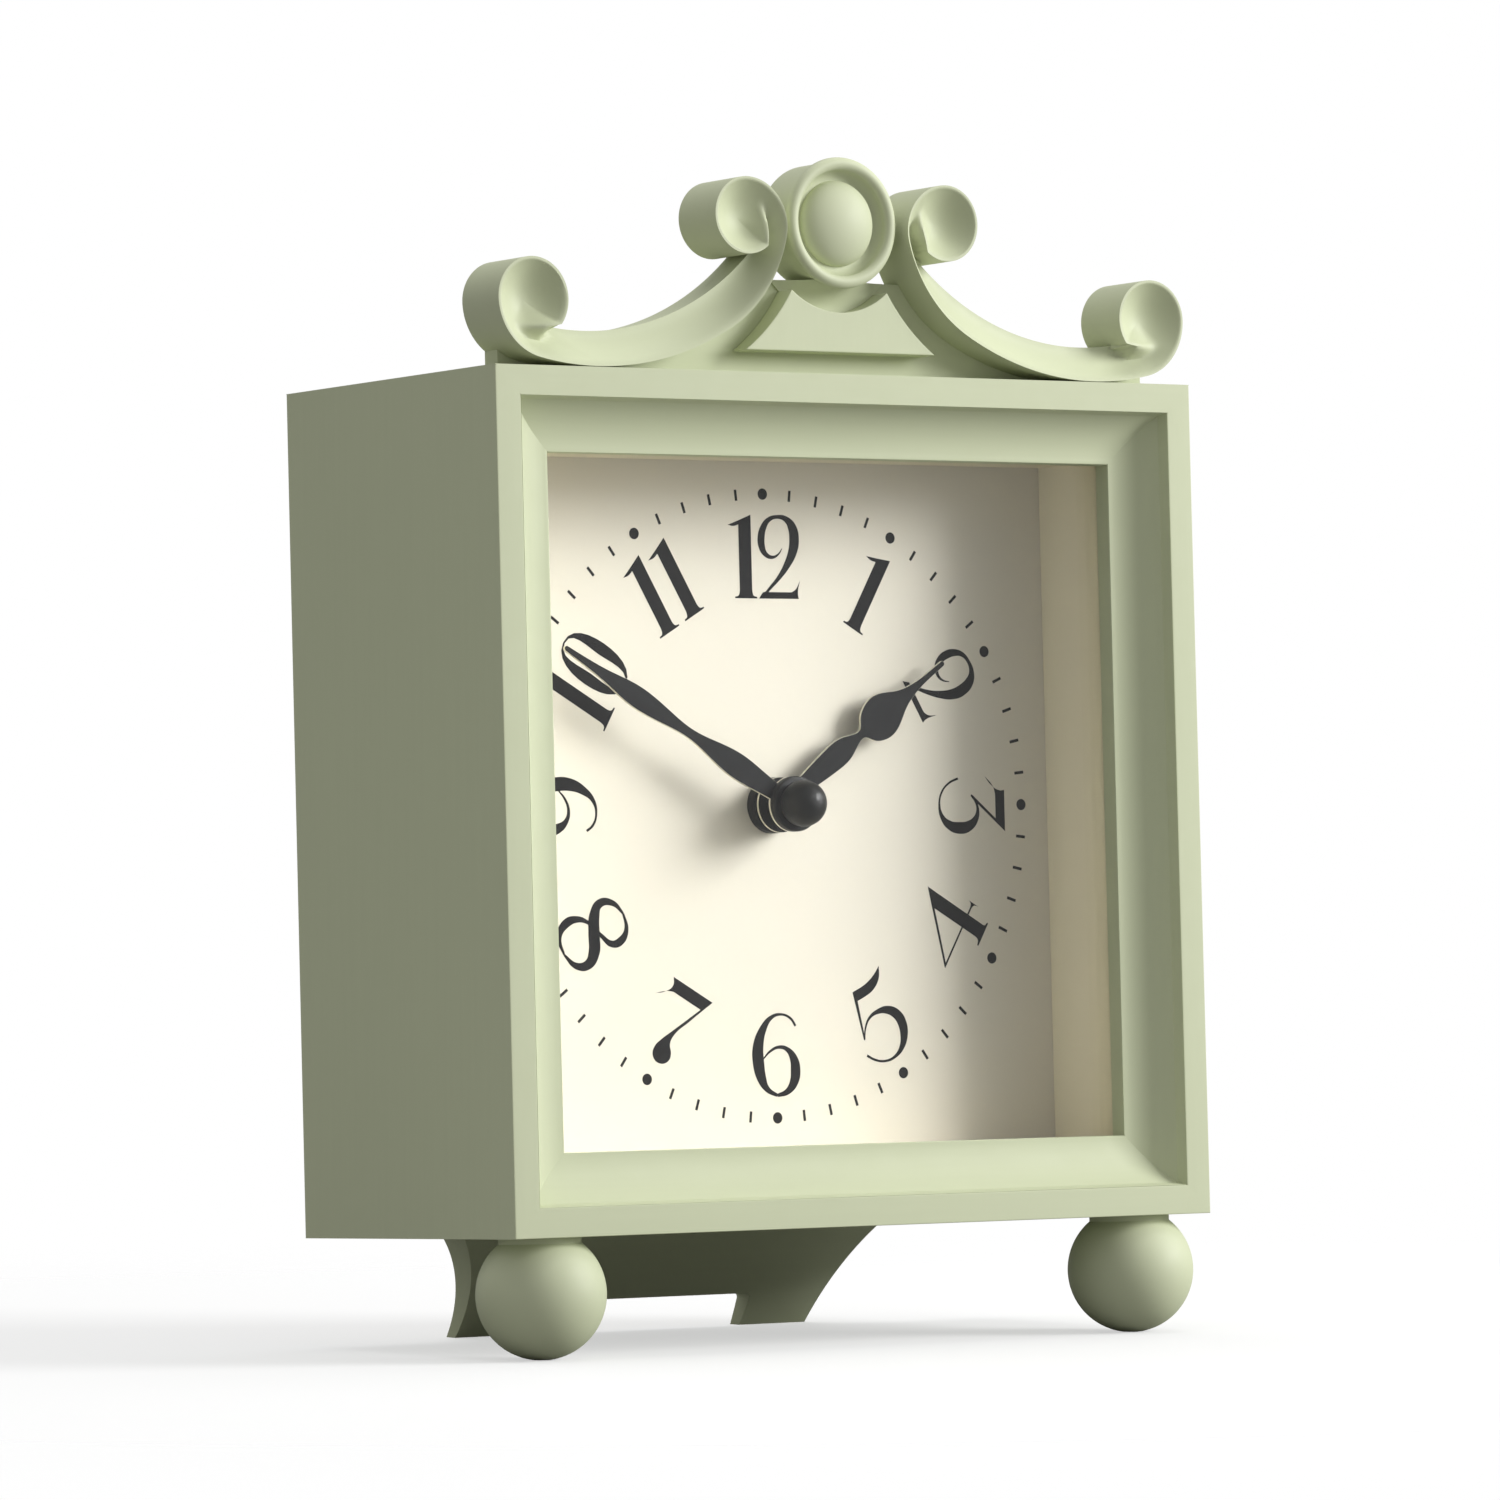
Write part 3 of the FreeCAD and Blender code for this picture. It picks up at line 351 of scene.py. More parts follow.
def to_object(bm, name, materials, body="case", stands_for=(), sharp=40):
    """Finish a bmesh drawn in the case's frame as a piece of the clock."""
    bmesh.ops.transform(bm, matrix=FROM_CASE, verts=bm.verts)
    for face in bm.faces:
        face.smooth = True
    for edge in bm.edges:
        edge.smooth = not (len(edge.link_faces) == 2 and edge.calc_face_angle(0) > math.radians(sharp))
    mesh = bpy.data.meshes.new(name)
    bm.to_mesh(mesh)
    bm.free()
    for material in (materials if isinstance(materials, (list, tuple)) else [materials]):
        mesh.materials.append(material)
    piece = bpy.data.objects.new(name, mesh)
    bpy.context.scene.collection.objects.link(piece)
    shading = piece.modifiers.new("even_shading", "WEIGHTED_NORMAL")
    shading.keep_sharp = True
    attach(piece, body)
    if stands_for:
        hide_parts(*stands_for)


def merged_copy(node):
    """A CAD node's shape in the case's frame, with its triangles merged into whole faces."""
    bm = bmesh.new()
    bm.from_mesh(frame["nodes"][node].data)
    bmesh.ops.transform(bm, matrix=TO_CASE, verts=bm.verts)
    bmesh.ops.remove_doubles(bm, verts=bm.verts, dist=SAME_PLACE)
    bmesh.ops.dissolve_degenerate(bm, edges=bm.edges, dist=SAME_PLACE)
    bmesh.ops.dissolve_limit(bm, angle_limit=math.radians(FLAT_ANGLE), verts=bm.verts, edges=bm.edges)
    return bm


def soften(bm, width, pick=None, segments=2, angle=28):
    """Bevel the edges that are sharper than angle, or those of them that pick chooses."""
    edges = [e for e in bm.edges if len(e.link_faces) == 2 and e.calc_face_angle(0) > math.radians(angle)
             and (pick is None or pick(e))]
    bmesh.ops.bevel(bm, geom=edges, offset=width, offset_type="OFFSET", segments=segments, profile=0.5,
                    affect="EDGES", clamp_overlap=True, material=-1)
    return bm


def off_the_mitre(edge):
    """True for an edge that isn't on a mitre, where two boards are glued and painted over."""
    for face in edge.link_faces:
        at_45 = abs(abs(face.normal.x) - abs(face.normal.z)) < NEARLY
        if at_45 and abs(face.normal.y) < NEARLY:
            return False
    return True


# %% Case boards and moulding
EDGE, MOULDING_EDGE, LINER_EDGE = 0.28, 0.18, 0.15
for side, paint in (("left", sage_upright), ("right", sage_upright),
                    ("top", sage_across), ("bottom", sage_across)):
    bm = soften(merged_copy("case_" + side), EDGE, off_the_mitre)
    to_object(bm, "case_board_" + side, paint, stands_for=["case_" + side])
    bm = soften(merged_copy("moulding_" + side), MOULDING_EDGE, off_the_mitre)
    to_object(bm, "front_moulding_" + side, paint, stands_for=["moulding_" + side])
    bm = soften(merged_copy("liner_" + side), LINER_EDGE, off_the_mitre)
    to_object(bm, "liner_board_" + side, cream, stands_for=["liner_" + side])
print("case boards, mouldings and liners softened by", EDGE, MOULDING_EDGE, LINER_EDGE, "mm")

# %% [markdown]
# ## Carved scrolls
# Each side of the crest is one carved band with a volute at both ends.  Its face isn't flat: the
# band is a cove, proud along its lower edge and hollow towards the upper one, and each volute is a
# shallow dish with the band's edge curling into it.  Boolean cuts can't make a hollow that changes
# along the way, and sculpting can't be repeated.  So the face is three grids: two are wrapped round
# the volutes, section by section, and one is stretched along the band.  Each grid's points are then
# moved to their place and depth by the few measures of the carving.

# %% The scroll's outline
VOLUTE_R, VOLUTE_INSET = 7.2, 8.25     # lower volute, and its centre in from the side of the case
THROAT_R, RISE_R, SHOULDER_R = 10.6, 25.9, 8.5     # arcs of the outer edge between the volutes
EYE_R, EYE_X = 6.8, 21.523             # upper volute, and its centre from the middle
BAND_W = 6.5
LOW_JOIN, HIGH_JOIN = -142.249, -128.958           # degrees where the band's upper edge meets each volute
HANDOVERS = [-3.0, -77.8, -119.6, -165.9, -270.0]  # degrees where one arc of the edge meets the next
CREST_LIFT = 0.1                       # lowest point of the band above the case
TURN = [math.cos(math.radians(a)) for a in HANDOVERS]
volute_x = half_w - VOLUTE_INSET
bends = (VOLUTE_R - THROAT_R) * TURN[0] + THROAT_R * TURN[1] - RISE_R * TURN[2]
bends += (RISE_R - SHOULDER_R) * TURN[3] + (SHOULDER_R - EYE_R) * TURN[4]
SWEEP_R = (EYE_X - volute_x - bends) / (TURN[2] - TURN[1])


def ray(angle):
    """Unit direction in the front view, angle in degrees from +X towards +Z."""
    return Vector((math.cos(math.radians(angle)), math.sin(math.radians(angle))))


def scroll_places():
    """Arcs of the right scroll's outer edge, as (centre, radius, start, end) in degrees."""
    radii = [VOLUTE_R, THROAT_R, SWEEP_R, RISE_R, SHOULDER_R, EYE_R]
    centres = [Vector((volute_x, 0))]
    for radius, next_radius, angle in zip(radii, radii[1:], HANDOVERS):
        centres.append(centres[-1] + ray(angle) * (radius - next_radius))
    lift = Vector((0, case_h + CREST_LIFT + SWEEP_R - centres[2].y))
    starts = [LOW_JOIN + 360] + HANDOVERS
    ends = HANDOVERS + [HIGH_JOIN - 360]
    return [(centre + lift, radius, start, end)
            for centre, radius, start, end in zip(centres, radii, starts, ends)]


ARCS = scroll_places()
SWEEP = ARCS[2][0]
print("long arc of the band: radius %.1f mm" % SWEEP_R)


ANGLE_SLACK = 0.01                     # degrees
ON_ARC, LENGTH_SLACK = 0.01, 1e-6      # mm


def reach(centre, angle, least):
    """Distance from centre to the outer edge along a ray, the first one beyond the least."""
    found = []
    way = ray(angle)
    for middle, radius, start, end in ARCS:
        offset = centre - middle
        half = offset.dot(way)
        inside = half * half - offset.length_squared + radius * radius
        if inside < 0:
            continue
        for sign in (-1, 1):
            distance = -half + sign * math.sqrt(inside)
            point = offset + way * distance
            at = math.degrees(math.atan2(point.y, point.x))
            on_arc = any(end - ANGLE_SLACK <= at + turn <= start + ANGLE_SLACK
                         for turn in (-720, -360, 0, 360))
            if on_arc and distance > least:
                found.append(distance)
    return min(found)


# %% Depth of the carving
DISH_D = 3.6           # middle of a volute behind its rim
COVE_D = 4.8           # upper edge of the band behind the lower one
LIP = 0.93             # where the hollow starts, the outer edge being 1
CURL = 0.62            # radius of the inner curl, of the volute's radius
CURL_RUN = 25.0        # degrees over which the curl runs out to the band's upper edge
FADE_RUN = 95.0        # degrees before the join at which the dish starts to turn into the cove
FLANK = 0.42           # width of the curl's outer flank, of the cove's width
FLANK_RUN = 30.0       # degrees over which the flank eases out from the join


def dish(share, deep=DISH_D):
    """Depth of a hollow at a share of the way from its middle to the outer edge."""
    return deep * (1 - (share / LIP) ** 2) if share < LIP else 0.0


def cove(share):
    return dish(share, COVE_D)


def smooth(value):
    """Eased step from 0 to 1."""
    value = min(1.0, max(0.0, value))
    return value * value * (3 - 2 * value)


# %% Grids for a volute and for the band
INNER = 14             # points across the dish
OUTER = 12             # and across the band's cove
STEP = 4.0             # degrees between the sections of a volute
BAND_SECTIONS = 49
BEFORE_RIM, PAST_RIM = 0.98, 1.02      # shares of a volute's radius, just inside and outside its rim
FACE_WELD, EDGE_WELD = 0.004, 0.002    # points nearer than this are joined, mm


def wrapped_grid(bm, columns, rows, place):
    """A grid whose point (column, row) goes to place(column, row), given as (x, depth, z)."""
    made = bmesh.ops.create_grid(bm, x_segments=columns - 1, y_segments=rows - 1, size=1)["verts"]
    for vert in made:
        column = round((vert.co.x + 1) / 2 * (columns - 1))
        row = round((vert.co.y + 1) / 2 * (rows - 1))
        vert.co = place(column, row)


def volute_grid(bm, centre, radius, join, way, free_turn):
    """Sections from the join round the free rim, and on over the band back to the join.
    way is +1 where the free rim is met going clockwise from the join, and -1 the other way."""
    band_turn = 360.0 - free_turn
    sections = int(360 / STEP) + 1

    def place(column, row):
        turned = 360.0 * column / (sections - 1)
        angle = join - way * turned
        after = 360.0 - turned                     # still to go to the join, over the band
        on_band = turned > free_turn
        last = column == sections - 1              # this ray has to pass the volute's own rim
        least = PAST_RIM if last else BEFORE_RIM
        rim = reach(centre, angle, radius * least) if on_band else radius
        if on_band:
            curl = radius * (CURL + (1 - CURL) * math.exp(-after / CURL_RUN))
            fade = smooth(after / min(band_turn, FADE_RUN))
        else:
            curl = radius * (1 + (CURL - 1) * smooth(turned / free_turn))
            fade = 1.0
        if last:
            curl = radius
            fade = 0.0
        if row < INNER:
            distance = curl * row / (INNER - 1)
            depth = (1 - fade) * dish(distance / curl) + fade * dish(distance / rim)
        else:
            share = (row - INNER) / (OUTER - 1)
            distance = curl + (rim - curl) * share
            flank = FLANK * smooth(after / FLANK_RUN)
            fall = smooth(share / flank) if flank > 0.001 else 1.0
            depth = (1 - fade) * cove(share) * fall + fade * dish(distance / rim)
        point = centre + ray(angle) * distance
        return point.x, depth, point.y

    wrapped_grid(bm, sections, INNER + OUTER, place)


def path_points(start, end, count):
    """Evenly spaced points along the outer edge, between two points given by arc and angle."""
    first, last = start[0], end[0]
    pieces = []
    for index in range(first, last + 1):
        centre, radius, high, low = ARCS[index]
        begin = start[1] if index == first else high
        finish_at = end[1] if index == last else low
        pieces.append((centre, radius, begin, finish_at, radius * math.radians(abs(begin - finish_at))))
    total = sum(piece[4] for piece in pieces)
    points = []
    for step in range(count):
        left = total * step / (count - 1)
        for centre, radius, begin, finish_at, length in pieces:
            if left <= length + LENGTH_SLACK:
                points.append(centre + ray(begin + (finish_at - begin) * left / length) * radius)
                break
            left -= length
    return points


def arc_and_angle(point, nearest):
    """The arc's number and the point's angle on it."""
    centre, high = ARCS[nearest][0], ARCS[nearest][2]
    at = math.degrees(math.atan2(point.y - centre.y, point.x - centre.x))
    while at > high + ANGLE_SLACK:
        at -= 360
    return nearest, at


def band_grid(bm):
    low, high = ARCS[0][0], ARCS[5][0]
    low_in = low + ray(LOW_JOIN) * VOLUTE_R
    high_in = high + ray(HIGH_JOIN) * EYE_R
    low_out = low + ray(LOW_JOIN) * reach(low, LOW_JOIN, VOLUTE_R * PAST_RIM)
    high_out = high + ray(HIGH_JOIN) * reach(high, HIGH_JOIN, EYE_R * PAST_RIM)
    which = 2 if abs((high_out - SWEEP).length - SWEEP_R) < ON_ARC else 3
    outer = path_points(arc_and_angle(low_out, 2), arc_and_angle(high_out, which), BAND_SECTIONS)
    inner_r = SWEEP_R - BAND_W
    angles = [math.degrees(math.atan2(p.y - SWEEP.y, p.x - SWEEP.x)) for p in (low_in, high_in)]

    def place(column, row):
        share = row / (OUTER - 1)
        angle = angles[0] + (angles[1] - angles[0]) * column / (BAND_SECTIONS - 1)
        inner = SWEEP + ray(angle) * inner_r
        if column == 0:
            inner = low_in
        if column == BAND_SECTIONS - 1:
            inner = high_in
        point = inner.lerp(outer[column], share)
        return point.x, cove(share), point.y

    wrapped_grid(bm, BAND_SECTIONS, OUTER, place)


# %% Build both scrolls
def carved_scroll():
    front, back = [case_box("scroll_right")[i].y for i in (0, 1)]
    bm = bmesh.new()
    lower_free = LOW_JOIN + 360 - HANDOVERS[0]
    upper_free = 90 - HIGH_JOIN
    volute_grid(bm, ARCS[0][0], VOLUTE_R, LOW_JOIN + 360, 1, lower_free)
    volute_grid(bm, ARCS[5][0], EYE_R, HIGH_JOIN, -1, upper_free)
    band_grid(bm)
    bmesh.ops.translate(bm, vec=(0, front, 0), verts=bm.verts)
    bmesh.ops.remove_doubles(bm, verts=bm.verts, dist=FACE_WELD)
    bmesh.ops.dissolve_degenerate(bm, edges=bm.edges, dist=EDGE_WELD)
    rim = [e for e in bm.edges if e.is_boundary]
    print("scroll face:", len(bm.faces), "faces, rim edges", len(rim))
    sides = bmesh.ops.extrude_edge_only(bm, edges=rim)["geom"]
    for vert in [item for item in sides if isinstance(item, bmesh.types.BMVert)]:
        vert.co.y = back
    bmesh.ops.remove_doubles(bm, verts=bm.verts, dist=EDGE_WELD)
    bmesh.ops.dissolve_degenerate(bm, edges=bm.edges, dist=EDGE_WELD)
    bmesh.ops.contextual_create(bm, geom=[e for e in bm.edges if e.is_boundary])
    bmesh.ops.recalc_face_normals(bm, faces=bm.faces)
    print("   open edges left:", sum(not e.is_manifold for e in bm.edges))
    return bm


for side in ("right", "left"):
    bm = carved_scroll()
    if side == "left":
        bmesh.ops.mirror(bm, geom=bm.verts[:] + bm.edges[:] + bm.faces[:], axis="X", merge_dist=-1)
        bmesh.ops.delete(bm, geom=[v for v in bm.verts if v.co.x > 0], context="VERTS")
        bmesh.ops.recalc_face_normals(bm, faces=bm.faces)
    to_object(bm, "carved_scroll_" + side, sage_turned, stands_for=["scroll_" + side],
              sharp=50)

# %% [markdown]
# ## Turned pieces
# The ball feet, the ring and the button in the middle of the crest are lathe work.  On the bench a
# gouge cuts half a section while the wood spins, and spin does the same to a line of points.  A
# sphere from create_uvsphere would need its collar joined on, and the ring has no ready shape.

# %% Lathe helpers
def bow(centre, radii, start, end, steps):
    """Points of an elliptical arc as (across, along), angles in degrees from the across axis."""
    return [(centre[0] + radii[0] * math.cos(math.radians(start + (end - start) * i / steps)),
             centre[1] + radii[1] * math.sin(math.radians(start + (end - start) * i / steps)))
            for i in range(steps + 1)]


def lathe(profile, place, along, steps=64):
    """Spin a line of (radius, distance) points about an axis, "Y" or "Z", through place."""
    bm = bmesh.new()
    axis_way = Vector((0, 1, 0)) if along == "Y" else Vector((0, 0, 1))
    verts = [bm.verts.new(place + Vector((radius, 0, 0)) + axis_way * far) for radius, far in profile]
    edges = [bm.edges.new(pair) for pair in zip(verts, verts[1:])]
    bmesh.ops.spin(bm, geom=verts + edges, cent=place, axis=axis_way, angle=2 * math.pi, steps=steps,
                   use_merge=True)
    bmesh.ops.remove_doubles(bm, verts=bm.verts, dist=SAME_PLACE)
    bmesh.ops.dissolve_degenerate(bm, edges=bm.edges, dist=SAME_PLACE)
    bmesh.ops.recalc_face_normals(bm, faces=bm.faces)
    return bm


# %% Ball feet
NECK_R, NECK_H = 7.2, 1.05             # where the ball meets its collar, below the case
COLLAR_EDGE = (0.1, 0.25)              # the collar's softened edge, across and up
for side in ("left", "right"):
    low, high = case_box("ball_foot_" + side)
    ball_r = (high.x - low.x) / 2
    centre = Vector(((low.x + high.x) / 2, (low.y + high.y) / 2, 0))
    centre.z = -NECK_H - math.sqrt(ball_r ** 2 - NECK_R ** 2)
    meet = math.degrees(math.acos(NECK_R / ball_r))
    profile = bow((0, 0), (ball_r, ball_r), -90, meet, 40)
    profile += [(NECK_R, -centre.z - COLLAR_EDGE[1]), (NECK_R - COLLAR_EDGE[0], -centre.z),
                (0, -centre.z)]
    bm = lathe(profile, centre, "Z", 72)
    floor_point = TO_CASE @ Vector((0, 0, 0))
    floor_up = (TO_CASE.to_3x3() @ Vector((0, 0, 1))).normalized()
    cut = bmesh.ops.bisect_plane(bm, geom=bm.verts[:] + bm.edges[:] + bm.faces[:], plane_co=floor_point,
                                 plane_no=floor_up, clear_inner=True)["geom_cut"]
    bmesh.ops.contextual_create(bm, geom=[e for e in cut if isinstance(e, bmesh.types.BMEdge)])
    bmesh.ops.recalc_face_normals(bm, faces=bm.faces)
    to_object(bm, "turned_foot_" + side, sage_turned, stands_for=["ball_foot_" + side])
print("ball feet: radius %.2f mm" % ball_r)

# %% Ring and button of the crest
low, high = case_box("boss_ring")
boss = Vector((0, 0, (low.z + high.z) / 2))
ring_outer = (high.x - low.x) / 2
dome_low, dome_high = case_box("boss_dome")
dome_r = (dome_high.x - dome_low.x) / 2
BEAD = 1.15                            # radius of the ring's round front
DRUM_INSET, DRUM_FRONT = 0.65, 1.0     # drum behind the bead: in from its rim, and back from its middle
GROOVE = 3.9                           # depth of the hollow between ring and button
SHANK_R = 3.9                          # the button's shank, behind the hollow
CLEAR = 0.05                           # from the button's rim to where the hollow starts to rise
bead_y = low.y + BEAD
ring_r = ring_outer - BEAD
drum_r = ring_outer - DRUM_INSET
hollow_r = dome_r + CLEAR
ring = [(0, high.y), (drum_r, high.y), (drum_r, bead_y + DRUM_FRONT)]
ring += bow((ring_r, bead_y), (BEAD, BEAD), 60, -180, 26)
ring += bow((hollow_r, bead_y), (ring_r - BEAD - dome_r - CLEAR, GROOVE - bead_y), 0, 90, 12)[1:]
ring += [(0, GROOVE)]
to_object(lathe(ring, boss, "Y", 96), "crest_ring", sage_turned,
          stands_for=["boss_ring"], sharp=35)
button = [(0, dome_high.y), (SHANK_R, dome_high.y), (SHANK_R, GROOVE), (dome_r, GROOVE)]
button += bow((0, GROOVE), (dome_r, GROOVE - dome_low.y), 0, -90, 26)[1:]
to_object(lathe(button, boss, "Y", 96), "crest_button", sage_turned,
          stands_for=["boss_dome"])
print("crest ring %.1f mm across, button %.1f mm" % (2 * ring_outer, 2 * dome_r))

# %% [markdown]
# ## Boards of the crest and the stand
# The rest of the woodwork is sawn from board and sanded, so it only needs its corners softened.

# %% Crest boards and stand
for node, name, paint, width in (("crest_backboard", "crest_board", sage_across, 0.25),
                                 ("crest_panel", "crest_tablet", sage_upright, 0.3),
                                 ("boss_collar", "crest_collar", sage_turned, 0.12),
                                 ("rear_stand", "swept_stand", sage_across, 0.3)):
    bm = soften(merged_copy(node), width, angle=35)
    to_object(bm, name, paint, stands_for=[node])
    print(name, "softened by", width, "mm")

# %% [markdown]
# ## Hands
# The hands are stamped from thin steel and lacquered black on the face, and the punched edge
# stays bright.  A second material on the edge faces gives that thin pale line.  An image could
# paint it on, but the edge is real geometry here, so it needs only a material index.

# %% Hands with bright cut edges
PUNCHED = 0.05                         # softening of the punched edge
FACE_ON = 0.9                          # a face whose normal has this much Y in it is lacquered
for node, name, body in (("hour_hand", "hour_hand_plate", "hour_hand_set"),
                         ("minute_hand", "minute_hand_plate", "minute_hand_set")):
    bm = soften(merged_copy(node), PUNCHED, segments=1, angle=35)
    for face in bm.faces:
        face.material_index = 0 if abs(face.normal.y) > FACE_ON else 1
    to_object(bm, name, [lacquer, bright_edge], body, [node])
low, high = case_box("cap_nut")
hub = Vector((0, 0, axis_z))
hub_r = (high.x - low.x) / 2
CAP_R = 4.15                           # the nut's ball
COLLAR, ROUND = 1.4, 0.35              # thickness of its collar, and the round of the collar's edge
ball_mid = low.y + CAP_R
collar_y = high.y - COLLAR
neck = math.degrees(math.asin((collar_y - ball_mid) / CAP_R)) if collar_y - ball_mid < CAP_R else 90
cap = bow((0, ball_mid), (CAP_R, CAP_R), -90, neck, 30)
cap += bow((hub_r - ROUND, collar_y + ROUND), (ROUND, ROUND), -90, 0, 5)
cap += [(hub_r, high.y), (0, high.y)]
to_object(lathe(cap, hub, "Y", 72), "cap_ball", gloss_black, "minute_hand_set",
          ["cap_nut"])
print("hands' hub %.1f mm across" % (2 * hub_r))

# %% [markdown]
# ## The dial's print
# The numerals are drawn as a lettering artist draws them, with broad and thin strokes.  A font
# would be quicker, but this face is its own design.  Each stroke is either an outline, or a pen line
# with a width at every point that is turned into an outline.  Blender fills a flat curve, and the
# result is made a mesh before it goes to its place.  All lengths here are in hundredths of a
# numeral's height: a pen point is (x, y, half width), a corner or smooth point of an outline is
# (x, y, "c" or "s"), and a ring gives its outer and inner half width and half height.

# %% Strokes of the numerals
SIX = [("pen", [(28.4, 84.4, 1.6), (21.6, 93.4, 1.6), (8.1, 98.5, 1.5), (-6.9, 94.9, 2.6),
                (-18.9, 81.4, 5), (-26.3, 62, 7.5), (-26.5, 41, 8.2), (-22.5, 23, 6.6),
                (-14.4, 9.6, 3.7), (0, 2.1, 2)]),
       ("pen", [(0, 2.1, 2), (14.7, 6.6, 3.9), (24.6, 18.6, 6.2), (27, 32, 7), (24.6, 45.5, 5.6),
                (15.6, 56.6, 3), (3.6, 59.6, 2), (-9.9, 54.5, 1.5), (-18.9, 46.4, 0.9)])]
GLYPHS = {
    "0": [("ring", [(28, 50), (12.7, 47.7)])],
    "1": [("shape", [(-24.6, 87.4, "c"), (-13, 91.5, "s"), (9, 100, "c"), (9, 9, "c"),
                     (11, 3.4, "s"), (16, 2, "c"), (16, 0, "c"), (-16, 0, "c"), (-16, 2, "c"),
                     (-11, 3.4, "s"), (-9, 9, "c"), (-9, 88, "c"), (-16, 86.2, "s")])],
    "2": [("pen", [(5.1, 60.1, 0.5), (-1.2, 52.6, 1.2), (-10.2, 49.5, 2.1), (-19.5, 53.5, 3.3),
                   (-24.3, 62.5, 4.7), (-24.9, 73, 5.1), (-21.3, 85, 4.3), (-13.5, 94.3, 3),
                   (-1.5, 97.9, 2.3), (11.4, 95.5, 3.6), (20.1, 86.5, 6), (23.1, 71.5, 7),
                   (20.4, 56.5, 6.3), (11.4, 39.9, 4.5), (-0.6, 24.9, 2.8), (-14.1, 12, 1.9),
                   (-24.6, 1.8, 1.3)]),
          ("shape", [(-30, 0, "c"), (28, 0, "c"), (26.7, 5.5, "s"), (30, 22, "c"),
                     (23.7, 11.5, "s"), (17.4, 7.8, "c"), (-24, 7.8, "c")])],
    "3": [("shape", [(-18.2, 99.4, "c"), (-17.6, 92.5, "s"), (-24.8, 79.1, "s"), (-35.5, 70.1, "c"),
                     (-22.4, 82.7, "s"), (-13.4, 85.7, "c"), (16.4, 85.7, "c"),
                     (32.2, 99.4, "c")]),
          ("shape", [(32.2, 99.4, "c"), (-3.9, 56.1, "c"), (-11, 48.7, "c"), (-13.1, 50.4, "c"),
                     (16.4, 85.7, "c")]),
          ("pen", [(-11, 50.1, 1), (-3, 56.7, 1.5), (6, 59.1, 2.1), (16.4, 56.1, 3.9),
                   (25.4, 45.4, 6.3), (27.8, 30.4, 7.1), (23.9, 15.5, 5.4), (14, 5.4, 3),
                   (0, 1.8, 1.5), (-14.9, 5.4, 1.3), (-26.3, 16.4, 1.3), (-32.2, 30.4, 1.5)])],
    "4": [("shape", [(9.4, 100, "c"), (9, 9, "c"), (9.6, 3.9, "s"), (14.3, 1.8, "c"),
                     (14.3, 0, "c"), (-17, 0, "c"), (-17, 1.8, "c"), (-10.5, 4.5, "s"),
                     (-9, 9, "c"), (-9, 82, "c")]),
          ("shape", [(9.4, 100, "c"), (-64.5, 31.5, "c"), (-59, 32.5, "c"), (-9, 78.5, "c")]),
          ("shape", [(-64.5, 31.5, "c"), (-62, 33, "c"), (18, 32.8, "c"), (22.5, 34, "s"),
                     (24.8, 38.8, "c"), (24.8, 22.4, "c"), (22.5, 29, "s"), (18, 30.5, "c"),
                     (-64.5, 30.5, "c")])],
    "5": [("shape", [(-13.8, 100, "c"), (7.4, 98.8, "s"), (23.5, 101.8, "s"), (36.2, 107.4, "c"),
                     (28.5, 94.7, "s"), (14.7, 87.1, "s"), (-1.5, 86.2, "s"), (-15, 87.6, "c")]),
          ("shape", [(-13.8, 100, "c"), (-29.5, 42, "c"), (-26.8, 43.5, "c"), (-12.5, 88, "c")]),
          ("pen", [(-28.5, 41.8, 0.8), (-20.6, 52.9, 1.2), (-8.8, 60.9, 1.7), (5.9, 61.2, 2.9),
                   (19.7, 55.3, 5), (28.5, 43.5, 6.3), (29.7, 30.9, 6.4), (24.4, 17.1, 5.4),
                   (13.8, 6.5, 3.5), (-0.9, 2.1, 1.9), (-15.6, 5, 1.5), (-27.9, 14.1, 1.5),
                   (-35.3, 24.4, 1.6)])],
    "6": SIX,
    "7": [("shape", [(-24.8, 100, "c"), (-20.6, 90.9, "s"), (-27.3, 78.8, "s"), (-39.4, 69.7, "c"),
                     (-25.8, 80.3, "s"), (-16.7, 84.2, "c"), (27.3, 84.2, "c"), (38.5, 100, "c")]),
          ("shape", [(38.5, 100, "c"), (20, 64, "s"), (8, 38, "s"), (8.5, 27, "s"), (15, 18, "s"),
                     (15.5, 8, "s"), (4, -0.2, "s"), (-7, 4, "s"), (-9.8, 14, "s"), (-5, 27, "s"),
                     (3.5, 42, "s"), (27.3, 84.2, "c")])],
    "8": [("pen", [(2, 98.5, 1.5), (-15.5, 92.5, 3.4), (-25, 76, 5.3), (-17, 62.5, 7.2),
                   (1, 50.7, 8), (20.3, 38.8, 7.8), (27.8, 24, 6), (20.3, 9, 3.9), (1, 1.5, 1.5)]),
          ("pen", [(1, 1.5, 1.5), (-20, 6, 3.4), (-29, 22.4, 5.4), (-24.5, 40.3, 3.7),
                   (-12.5, 51, 2.2), (8.4, 58.2, 2.6), (24, 65.7, 4), (27.8, 77.6, 5),
                   (20.3, 92.5, 3), (2, 98.5, 1.5)])],
    "9": [(kind, [(-p[0], 100 - p[1], p[2]) for p in points]) for kind, points in SIX],
}
SPACING = {"10": 47.4, "11": 42.0, "12": 48.6}         # from one digit to the next
RING_MID = 50                          # height of a ring's middle


